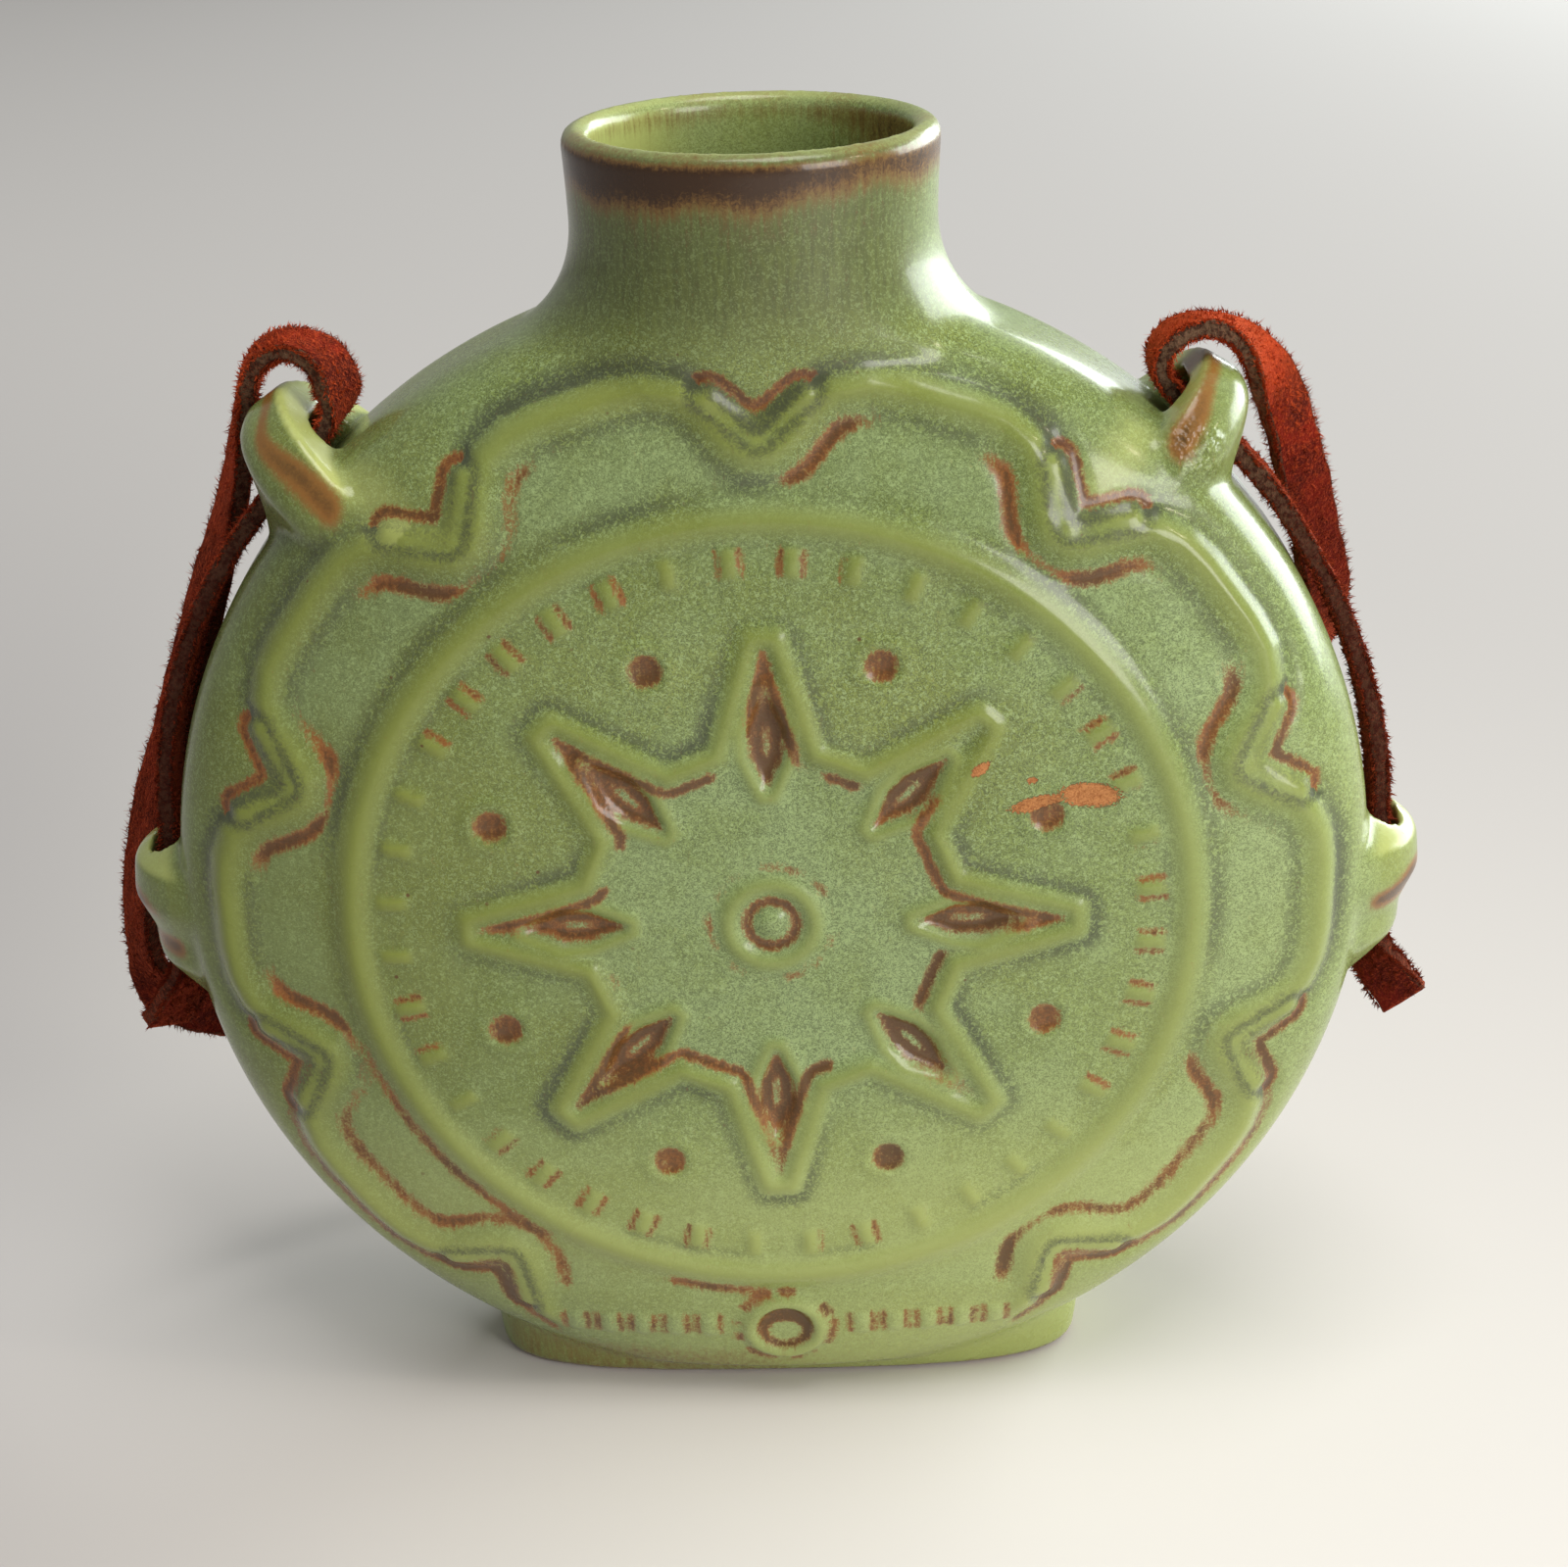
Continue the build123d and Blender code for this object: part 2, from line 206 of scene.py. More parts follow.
class Bench:
    """The modelling steps that several pieces share."""

    @staticmethod
    def clear() -> None:
        """Deselects everything."""
        for piece in bpy.context.selected_objects:
            piece.select_set(False)
        bpy.context.view_layer.objects.active = None

    @staticmethod
    def pick(piece: bpy.types.Object) -> None:
        """Makes a piece the only one selected and the active one.

        Args:
            piece: The piece to select.
        """
        Bench.clear()
        piece.select_set(True)
        bpy.context.view_layer.objects.active = piece

    @staticmethod
    def finish(piece: bpy.types.Object, kind: str, **settings: object) -> None:
        """Adds a modifier to a piece and applies it.

        Args:
            piece: The piece to change.
            kind: The modifier's type.
            settings: The modifier's own values.
        """
        Bench.pick(piece)
        step = piece.modifiers.new(kind.lower(), kind)
        for name, value in settings.items():
            setattr(step, name, value)
        bpy.ops.object.modifier_apply(modifier=step.name)

    @staticmethod
    def join(base: bpy.types.Object, tool: bpy.types.Object, how: Joining) -> None:
        """Adds a closed form to another or cuts it away, and uses it up."""
        Bench.finish(base, "BOOLEAN", object=tool, operation=how.value, solver="MANIFOLD")
        bpy.data.objects.remove(tool)

    @staticmethod
    @contextmanager
    def editing(piece: bpy.types.Object) -> Iterator[None]:
        """Opens a piece's mesh with all of it selected, and closes it afterwards.

        Args:
            piece: The piece to open.

        Returns:
            A context in which the mesh is open.
        """
        Bench.pick(piece)
        bpy.ops.object.mode_set(mode="EDIT")
        bpy.ops.mesh.select_all(action="SELECT")
        yield
        bpy.ops.object.mode_set(mode="OBJECT")

    @staticmethod
    def placed(name: str, data: bpy.types.ID) -> bpy.types.Object:
        """Puts a new object with this data into the scene.

        Args:
            name: The object's name.
            data: Its mesh, curve, lamp or camera.

        Returns:
            The new object.
        """
        piece = bpy.data.objects.new(name, data)
        bpy.context.scene.collection.objects.link(piece)
        return piece

    @staticmethod
    def turned(
        name: str, outline: Sequence[Pair], centre: Point, axis: Point, steps: int
    ) -> bpy.types.Object:
        """Spins an outline of (radius, along) pairs about an axis into a closed form.

        Args:
            name: The piece's name.
            outline: Millimetres out from the axis and along it.
            centre: A point on the axis, in metres.
            axis: The axis' direction.
            steps: How many steps the full turn has.

        Returns:
            The closed form.
        """
        along = Vector(axis).normalized()
        out = along.orthogonal().normalized()
        start = Vector(centre)
        spots = [start + (out * radius + along * reach) * MM for radius, reach in outline]
        mesh = bpy.data.meshes.new(name)
        mesh.from_pydata(spots, [(i, i + 1) for i in range(len(spots) - 1)], [])
        piece = Bench.placed(name, mesh)
        with Bench.editing(piece):
            bpy.ops.mesh.spin(steps=steps, angle=2 * math.pi, center=centre, axis=tuple(along))
            bpy.ops.mesh.select_all(action="SELECT")
            bpy.ops.mesh.remove_doubles(threshold=MERGE_DISTANCE)
            bpy.ops.mesh.normals_make_consistent(inside=False)
        return piece

    @staticmethod
    def lofted(name: str, outline: Sequence[Pair], sections: Sequence[Point]) -> bpy.types.Object:
        """Draws a disc of a given outline up through level sections.

        Args:
            name: The piece's name.
            outline: The outline's unit shape.
            sections: Height, half width and half depth of each level, in millimetres.

        Returns:
            The closed form.
        """
        Bench.clear()
        height, wide, deep = sections[0]
        bpy.ops.mesh.primitive_circle_add(
            vertices=len(outline), radius=MM, fill_type="NGON", location=(0, 0, height * MM)
        )
        piece = bpy.context.object
        piece.name = name
        for vertex, (x, y) in zip(piece.data.vertices, outline):
            vertex.co = (x * wide * MM, y * deep * MM, 0)
        with Bench.editing(piece):
            for level, next_wide, next_deep in sections[1:]:
                step = (0, 0, (level - height) * MM)
                bpy.ops.mesh.extrude_region_move(TRANSFORM_OT_translate={"value": step})
                size = (next_wide / wide, next_deep / deep, 1)
                bpy.ops.transform.resize(value=size, center_override=(0, 0, level * MM))
                height, wide, deep = level, next_wide, next_deep
            bpy.ops.mesh.select_all(action="SELECT")
            bpy.ops.mesh.normals_make_consistent(inside=False)
        Bench.settle(piece)
        return piece

    @staticmethod
    def trim(piece: bpy.types.Object, height: float) -> None:
        """Cuts off all of a closed form under a height in millimetres and closes it again.

        Args:
            piece: The form to cut.
            height: The height of the cut.
        """
        with Bench.editing(piece):
            bpy.ops.mesh.bisect(
                plane_co=(0, 0, height * MM), plane_no=(0, 0, 1), use_fill=True, clear_inner=True
            )

    @staticmethod
    def rounded(corners: Sequence[Point]) -> list[Pair]:
        """An open outline with an arc in place of each corner.

        Args:
            corners: Along, out and the arc's radius for each corner.

        Returns:
            The outline's points, from its foot on the axis to its other foot.
        """
        spots = [np.array([along, out]) for along, out, _ in corners]
        spots = [np.array([spots[0][0], 0.0])] + spots + [np.array([spots[-1][0], 0.0])]
        line = [tuple(spots[0])]
        for (_, _, radius), before, here, after in zip(corners, spots, spots[1:], spots[2:]):
            back = (before - here) / np.linalg.norm(before - here)
            ahead = (after - here) / np.linalg.norm(after - here)
            half = math.acos(float(np.clip(back @ ahead, -1, 1))) / 2
            middle = here + (back + ahead) / np.linalg.norm(back + ahead) * radius / math.sin(half)
            start = here + back * radius / math.tan(half) - middle
            end = here + ahead * radius / math.tan(half) - middle
            for share in np.linspace(0, 1, CORNER_POINTS):
                way = start * (1 - share) + end * share
                line.append(tuple(middle + way / np.linalg.norm(way) * radius))
        return line + [tuple(spots[-1])]

    @staticmethod
    def settle(piece: bpy.types.Object) -> None:
        """Moves a piece's place, turn and size into its mesh."""
        Bench.pick(piece)
        bpy.ops.object.transform_apply(location=True, rotation=True, scale=True)

    @staticmethod
    def group(piece: bpy.types.Object, chosen: np.ndarray, name: str) -> None:
        """Gathers the chosen points of a piece under a name that a modifier reads."""
        piece.vertex_groups.new(name=name).add(np.nonzero(chosen)[0].tolist(), 1.0, "REPLACE")

    @staticmethod
    def read(items: Sequence[object], name: str, width: int = 1, kind: type = float) -> np.ndarray:
        """Reads one value of every item of a mesh.

        Args:
            items: The mesh's points, faces, corners or kept values.
            name: The value's name.
            width: How many numbers the value has.
            kind: The numbers' type.

        Returns:
            One row for each item, or one number where the width is 1.
        """
        flat = np.empty(len(items) * width, dtype=kind)
        items.foreach_get(name, flat)
        return flat.reshape(-1, width) if width > 1 else flat

    @staticmethod
    def points(mesh: bpy.types.Mesh) -> np.ndarray:
        """A mesh's points in millimetres, one row each."""
        return Bench.read(mesh.vertices, "co", 3) / MM

    @staticmethod
    def normals(mesh: bpy.types.Mesh) -> np.ndarray:
        """A mesh's smooth normals, one row for each point."""
        return Bench.read(mesh.vertex_normals, "vector", 3)

    @staticmethod
    def paint(mesh: bpy.types.Mesh, name: str, values: np.ndarray) -> None:
        """Keeps one number for each point under a name that the finishes read.

        Args:
            mesh: The mesh to keep them on.
            name: The name they are kept under.
            values: The numbers.
        """
        mesh.attributes.new(name, "FLOAT", "POINT").data.foreach_set(
            "value", np.clip(values, 0.0, STRONGEST_TONE).astype(np.float32)
        )


class Nodes:
    """A short way to lay out a finish's nodes."""

    def __init__(self, name: str) -> None:
        """Starts an empty finish with its shader and output.

        Args:
            name: The finish's name.
        """
        self.material = bpy.data.materials.new(name)
        self.material.use_nodes = True
        self.tree = self.material.node_tree
        self.tree.nodes.clear()
        output = self.tree.nodes.new("ShaderNodeOutputMaterial")
        self.shader = self.tree.nodes.new("ShaderNodeBsdfPrincipled")
        self.link(self.shader.outputs["BSDF"], output.inputs["Surface"])
        self.place = self.tree.nodes.new("ShaderNodeTexCoord").outputs["Object"]

    def link(self, source: Socket, target: Socket) -> None:
        """Joins two sockets."""
        self.tree.links.new(source, target)

    def feed(self, target: Socket, value: object) -> None:
        """Sets a socket, or joins it where the value is a socket itself.

        Args:
            target: The socket to set.
            value: A number, a colour or a socket.
        """
        if isinstance(value, bpy.types.NodeSocket):
            self.link(value, target)
        else:
            target.default_value = value

    def surface(self, values: dict[str, object]) -> None:
        """Sets or joins the shader's sockets by name."""
        for name, value in values.items():
            self.feed(self.shader.inputs[name], value)

    def attribute(self, name: str) -> Socket:
        """One of the numbers kept on a piece's points.

        Args:
            name: The name it is kept under.

        Returns:
            The number's socket.
        """
        node = self.tree.nodes.new("ShaderNodeAttribute")
        node.attribute_name = name
        return node.outputs["Fac"]

    def axes(self) -> tuple[Socket, Socket, Socket]:
        """The object's own X, Y and Z.

        Returns:
            Their three sockets.
        """
        node = self.tree.nodes.new("ShaderNodeSeparateXYZ")
        self.link(self.place, node.inputs[0])
        return node.outputs["X"], node.outputs["Y"], node.outputs["Z"]

    def stretched(self, scale: Point) -> Socket:
        """The object's own place, with each direction scaled.

        Args:
            scale: The factor for each direction.

        Returns:
            The scaled place's socket.
        """
        node = self.tree.nodes.new("ShaderNodeMapping")
        self.link(self.place, node.inputs["Vector"])
        node.inputs["Scale"].default_value = scale
        return node.outputs["Vector"]

    def noise(
        self, scale: float, detail: float = 2.0, rough: float = 0.5, place: object = None, swirl: float = 0.0
    ) -> Socket:
        """A cloudy pattern of a given fineness, drawn out into worms by its swirl.

        Args:
            scale: How many grains go into a metre.
            detail: How many finer patterns are laid over it.
            rough: How strong the finer ones are.
            place: The place it reads, or None for the object's own.
            swirl: How far it is drawn out.

        Returns:
            The pattern's socket.
        """
        node = self.tree.nodes.new("ShaderNodeTexNoise")
        self.link(place or self.place, node.inputs["Vector"])
        node.inputs["Scale"].default_value = scale
        node.inputs["Detail"].default_value = detail
        node.inputs["Roughness"].default_value = rough
        node.inputs["Distortion"].default_value = swirl
        return node.outputs["Fac"]

    def cells(self, scale: float) -> Socket:
        """The distance to the nearest of many scattered points.

        Args:
            scale: How many points go into a metre.

        Returns:
            The distance's socket.
        """
        node = self.tree.nodes.new("ShaderNodeTexVoronoi")
        self.link(self.place, node.inputs["Vector"])
        node.inputs["Scale"].default_value = scale
        return node.outputs["Distance"]

    def math(self, kind: str, first: object, second: object = 0.0) -> Socket:
        """One sum of two values.

        Args:
            kind: The sum's type.
            first: The first value.
            second: The second value.

        Returns:
            The result's socket.
        """
        node = self.tree.nodes.new("ShaderNodeMath")
        node.operation = kind
        self.feed(node.inputs[0], first)
        self.feed(node.inputs[1], second)
        return node.outputs[0]

    def times(self, first: object, second: object) -> Socket:
        """The product of two values."""
        return self.math("MULTIPLY", first, second)

    def rest(self, value: object) -> Socket:
        """What a value lacks to 1."""
        return self.math("SUBTRACT", 1.0, value)

    def loosened(self, value: object, pattern: Socket, amount: float) -> Socket:
        """A value that a pattern pushes up and down by up to half of the amount."""
        return self.math("ADD", value, self.times(self.math("SUBTRACT", pattern, 0.5), amount))

    def rise(self, value: object, low: float, high: float, start: float = 0.0, end: float = 1.0) -> Socket:
        """A smooth step of a value between two limits.

        Args:
            value: The value to read.
            low: Where the step begins.
            high: Where it ends.
            start: The result below it.
            end: The result above it.

        Returns:
            The result's socket.
        """
        node = self.tree.nodes.new("ShaderNodeMapRange")
        node.interpolation_type = "SMOOTHSTEP"
        self.feed(node.inputs["Value"], value)
        for name, number in zip(("From Min", "From Max", "To Min", "To Max"), (low, high, start, end)):
            node.inputs[name].default_value = number
        return node.outputs["Result"]

    def mix(self, share: object, first: object, second: object) -> Socket:
        """Blends from the first colour to the second.

        Args:
            share: How much of the second there is, from 0 to 1.
            first: The first colour.
            second: The second colour.

        Returns:
            The blend's socket.
        """
        node = self.tree.nodes.new("ShaderNodeMix")
        node.data_type = "RGBA"
        for number, value in zip((0, 6, 7), (share, first, second)):
            self.feed(node.inputs[number], value)
        return node.outputs[2]

    def bump(self, height: object, distance: float, strength: float, under: object = None) -> Socket:
        """Raises the surface a little where height is large.

        Args:
            height: The pattern that is raised.
            distance: How high it is raised, in metres.
            strength: How much of that shows, from 0 to 1.
            under: The normal of another bump below it, or None.

        Returns:
            The new normal's socket.
        """
        node = self.tree.nodes.new("ShaderNodeBump")
        node.inputs["Distance"].default_value = distance
        node.inputs["Strength"].default_value = strength
        self.feed(node.inputs["Height"], height)
        if under is not None:
            self.link(under, node.inputs["Normal"])
        return node.outputs["Normal"]


@dataclass(frozen=True)
class GlazePatterns:
    """The patterns that the glaze's colours share."""

    fine: Socket
    finer: Socket
    cloud: Socket
    wide: Socket
    streak: Socket


@dataclass(frozen=True)
class SatinGlaze:
    """The green satin glaze, which breaks to rust brown where it runs thin over the clay."""

    green: Colour = (0.210, 0.280, 0.070, 1)
    pale: Colour = (0.310, 0.410, 0.175, 1)
    olive: Colour = (0.225, 0.262, 0.048, 1)
    # deep is the colour of the painted shade.
    deep: Colour = (0.078, 0.088, 0.030, 1)
    slate: Colour = (0.050, 0.056, 0.036, 1)
    rust: Colour = (0.285, 0.088, 0.019, 1)
    dark_rust: Colour = (0.104, 0.034, 0.010, 1)
    warm_brown: Colour = (0.215, 0.112, 0.030, 1)
    dark_brown: Colour = (0.046, 0.021, 0.008, 1)
    ember: Colour = (0.250, 0.106, 0.022, 1)
    dark_ember: Colour = (0.095, 0.044, 0.011, 1)
    # bright is the colour of the painted light, and also of the lip's pale edge.
    bright: Colour = (0.480, 0.530, 0.170, 1)
    clay: Colour = (0.520, 0.220, 0.070, 1)
    dark_fleck: Colour = (0.062, 0.080, 0.030, 1)
    light_fleck: Colour = (0.380, 0.500, 0.215, 1)
    speckle_scale: float = 1400.0
    light_speckle_scale: float = 2600.0
    cloud_scale: float = 120.0
    patch_scale: float = 34.0
    streak_scale: float = 1800.0
    streak_stretch: Point = (1.0, 1.0, 0.12)
    pinhole_scale: float = 150.0
    peel_scale: float = 380.0
    crawl_scale: float = 900.0

    def material(self) -> bpy.types.Material:
        """Lays out the glaze's nodes.

        Returns:
            The material that every clay piece wears.
        """
        nodes = Nodes("satin_green_glaze")
        patterns = GlazePatterns(
            fine=nodes.noise(self.speckle_scale, 3.0, 0.65, swirl=1.8),
            finer=nodes.noise(self.light_speckle_scale, 2.0, 0.6, swirl=1.2),
            cloud=nodes.noise(self.cloud_scale, 4.0, 0.6),
            wide=nodes.noise(self.patch_scale, 3.0, 0.55),
            streak=nodes.noise(self.streak_scale, 3.0, 0.6, nodes.stretched(self.streak_stretch)),
        )
        colour = self.breaks(nodes, patterns, self.ground(nodes, patterns))
        pin = nodes.rise(nodes.cells(self.pinhole_scale), 0.028, 0.05, 1.0, 0.0)
        pitted = nodes.times(pin, nodes.rise(patterns.wide, 0.5, 0.56))
        colour = nodes.mix(nodes.times(pitted, 0.8), colour, self.dark_rust)
        bare = nodes.rise(nodes.loosened(nodes.attribute("chip"), patterns.fine, 0.5), 0.5, 0.56)
        under = nodes.mix(nodes.rise(patterns.finer, 0.35, 0.7), self.clay, self.rust)
        smooth = nodes.rise(patterns.cloud, 0.3, 0.7, 0.24, 0.3)
        peel = nodes.bump(nodes.noise(self.peel_scale, 2.0, 0.5), 0.00008, 0.3)
        wrinkles = nodes.times(nodes.noise(self.crawl_scale, 1.0, 0.4), nodes.attribute("crawl"))
        crawl = nodes.bump(wrinkles, 0.0009, 1.0, peel)
        nodes.surface(
            {
                "Base Color": nodes.mix(bare, colour, under),
                "Roughness": nodes.math("ADD", smooth, nodes.times(bare, 0.6)),
                "Specular IOR Level": 0.38,
                "Coat Weight": 0.2,
                "Coat Roughness": 0.07,
                "IOR": 1.5,
                "Normal": nodes.bump(nodes.times(bare, -1.0), 0.0003, 0.8, crawl),
            }
        )
        return nodes.material

    def ground(self, nodes: Nodes, patterns: GlazePatterns) -> Socket:
        """The green with its olive patches, pale panels, painted shade, painted light and worm-like speckle.

        Args:
            nodes: The finish's nodes.
            patterns: The patterns it shares.

        Returns:
            The colour's socket.
        """
        deep = nodes.attribute("deep")
        colour = nodes.mix(nodes.rise(patterns.cloud, 0.36, 0.66, 0.0, 0.5), self.green, self.pale)
        colour = nodes.mix(nodes.rise(patterns.wide, 0.42, 0.62, 0.0, 0.6), colour, self.olive)
        # The pale tone: the glaze's pale panels, and painted light where the tints add it.
        flat = nodes.times(nodes.attribute("pale"), nodes.rise(patterns.cloud, 0.3, 0.62, 0.5, 1.0))
        colour = nodes.mix(nodes.times(flat, 0.75), colour, self.pale)
        # Painted shade from the deep tone.
        shade = nodes.times(deep, nodes.rise(patterns.streak, 0.3, 0.7, 0.7, 1.0))
        colour = nodes.mix(shade, colour, self.deep)
        top = nodes.times(nodes.attribute("olive"), nodes.rise(patterns.cloud, 0.3, 0.6, 0.75, 1.0))
        calm = nodes.rest(nodes.times(nodes.math("MAXIMUM", top, deep), 0.7))
        from_middle = nodes.math("ABSOLUTE", nodes.math("SUBTRACT", patterns.fine, 0.5))
        worm = nodes.rise(from_middle, 0.015, 0.075, 0.72, 0.0)
        colour = nodes.mix(nodes.times(worm, calm), colour, self.dark_fleck)
        light = nodes.times(nodes.rise(patterns.finer, 0.5, 0.64, 0.0, 0.62), calm)
        colour = nodes.mix(nodes.times(top, 0.66), nodes.mix(light, colour, self.light_fleck), self.olive)
        # Painted light from the bright tone, which also paints part of the lip's pale edge.
        return nodes.mix(nodes.attribute("bright"), colour, self.bright)

    def breaks(self, nodes: Nodes, patterns: GlazePatterns, colour: Socket) -> Socket:
        """Adds slate, rust, brown and ember to a colour where the glaze runs thin.

        Args:
            nodes: The finish's nodes.
            patterns: The patterns it shares.
            colour: The colour under the breaks.

        Returns:
            The new colour's socket.
        """
        loose = nodes.loosened(nodes.attribute("slate"), patterns.fine, 1.5)
        colour = nodes.mix(nodes.rise(loose, 0.18, 1.05, 0.0, 0.84), colour, self.slate)
        grain = nodes.math("ADD", nodes.times(patterns.fine, 0.6), nodes.times(patterns.streak, 0.4))
        broken = nodes.loosened(nodes.attribute("rust"), grain, 2.5)
        burnt = nodes.rise(nodes.loosened(broken, patterns.cloud, 1.6), 0.5, 1.3)
        rust = nodes.mix(burnt, self.rust, self.dark_rust)
        colour = nodes.mix(nodes.times(nodes.rise(broken, 0.24, 0.96), 0.92), colour, rust)
        run = nodes.loosened(nodes.attribute("brown"), patterns.streak, 0.75)
        mottle = nodes.loosened(run, patterns.fine, 1.3)
        brown = nodes.mix(nodes.rise(mottle, 0.3, 1.1), self.warm_brown, self.dark_brown)
        shown = nodes.rise(nodes.math("ADD", run, nodes.times(mottle, 0.35)), 0.12, 1.0)
        colour = nodes.mix(shown, colour, brown)
        glow = nodes.loosened(nodes.attribute("ember"), patterns.fine, 0.6)
        core = nodes.rise(nodes.loosened(glow, patterns.cloud, 0.5), 0.7, 1.3)
        ember = nodes.mix(core, self.ember, self.dark_ember)
        return nodes.mix(nodes.rise(glow, 0.1, 0.85, 0.0, 0.95), colour, ember)


@dataclass(frozen=True)
class NappedSuede:
    """Red suede: nap raised by brushing on both faces and brown raw leather at the cut edges, with painted
    shade low on the strands and painted light on the right fold.
    """

    nap: Colour = (0.235, 0.013, 0.005, 1)
    dark_nap: Colour = (0.048, 0.005, 0.004, 1)
    light_nap: Colour = (0.620, 0.085, 0.020, 1)
    raw: Colour = (0.150, 0.088, 0.052, 1)
    dark_raw: Colour = (0.046, 0.022, 0.014, 1)
    sheen: Colour = (1.0, 0.17, 0.06, 1)
    nap_scale: float = 2200.0
    coarse_scale: float = 1500.0
    patch_scale: float = 150.0
    # Where the painted shade on the hanging strands and the painted light on the right fold's top lie, in
    # metres.
    hanging_heights: Pair = (0.106, 0.138)
    fold_heights: Pair = (0.126, 0.142)
    fold_places: Pair = (0.0, 0.04)

    def material(self) -> bpy.types.Material:
        """Lays out the suede's nodes.

        Returns:
            The material of the lace.
        """
        nodes = Nodes("red_napped_suede")
        fine = nodes.noise(self.nap_scale, 3.0, 0.7)
        patch = nodes.noise(self.patch_scale, 4.0, 0.65)
        coarse = nodes.noise(self.coarse_scale, 3.0, 0.65)
        raw_edge = nodes.attribute("raw_edge")
        colour = nodes.mix(nodes.rise(patch, 0.36, 0.62, 0.0, 0.95), self.nap, self.dark_nap)
        colour = nodes.mix(nodes.rise(fine, 0.48, 0.72, 0.0, 0.75), colour, self.light_nap)
        cut = nodes.mix(nodes.rise(coarse, 0.4, 0.62), self.raw, self.dark_raw)
        colour = nodes.mix(nodes.rise(nodes.loosened(raw_edge, coarse, 0.5), 0.4, 0.6), colour, cut)
        colour = nodes.mix(nodes.times(nodes.attribute("fuzz"), 0.8), colour, self.light_nap)
        across, _, up = nodes.axes()
        # Painted shade: the lace darker on its hanging strands below the folds.
        colour = nodes.mix(nodes.rise(up, *self.hanging_heights, 0.66, 0.0), colour, self.dark_nap)
        # Painted light: the top of the right fold lighter, away from the raw edges.
        fold = nodes.times(nodes.rise(up, *self.fold_heights), nodes.rise(across, *self.fold_places))
        painted_fold_light = nodes.times(nodes.times(fold, nodes.rest(raw_edge)), 0.6)
        nap = nodes.bump(fine, 0.0004, 0.9)
        nodes.surface(
            {
                "Base Color": nodes.mix(painted_fold_light, colour, self.light_nap),
                "Roughness": 0.92,
                "Specular IOR Level": 0.08,
                "Sheen Weight": 0.8,
                "Sheen Roughness": 0.35,
                "Sheen Tint": self.sheen,
                "Normal": nodes.bump(coarse, 0.0006, 0.6, nap),
            }
        )
        return nodes.material


@dataclass
class PhotoCamera:
    """The camera, placed where the photograph was taken from."""

    place: Point = (0.007728, -0.310173, 0.219190)
    pitch: float = 0.4174
    roll: float = -0.0301
    yaw: float = -0.0198
    focal_pixels: float = 2717.1
    image_width: float = 1600.0
    sensor: float = 36.0
    near_limit: float = 0.01

    def build(self) -> None:
        """Creates the camera and makes it the scene's."""
        forward = Vector(
            (
                math.sin(self.yaw) * math.cos(self.pitch),
                math.cos(self.yaw) * math.cos(self.pitch),
                -math.sin(self.pitch),
            )
        )
        level = Vector((math.cos(self.yaw), -math.sin(self.yaw), 0))
        upright = level.cross(forward)
        right = level * math.cos(self.roll) + upright * math.sin(self.roll)
        up = upright * math.cos(self.roll) - level * math.sin(self.roll)
        turn = Matrix((right, up, -forward)).transposed()
        data = bpy.data.cameras.new("photo_camera")
        data.sensor_width = self.sensor
        data.lens = self.focal_pixels / self.image_width * self.sensor
        data.clip_start = self.near_limit
        camera = Bench.placed("photo_camera", data)
        camera.matrix_world = Matrix.Translation(self.place) @ turn.to_4x4()
        bpy.context.scene.camera = camera


@dataclass(frozen=True)
class Lamp:
    """One soft lamp: its place and size in metres, its power in watts and its colour."""

    name: str
    place: Point
    size: Pair
    power: float
    colour: Point

    def hang(self, target: Point) -> None:
        """Hangs the lamp so that it looks at the target, unseen by the camera.

        Args:
            target: The place it looks at, in metres.
        """
        data = bpy.data.lights.new(self.name, "AREA")
        data.shape = "RECTANGLE"
        data.size, data.size_y = self.size
        data.energy = self.power
        data.color = self.colour
        lamp = Bench.placed(self.name, data)
        lamp.location = self.place
        lamp.visible_camera = False
        aim = Vector(target) - Vector(self.place)
        lamp.rotation_euler = aim.to_track_quat("-Z", "Y").to_euler()


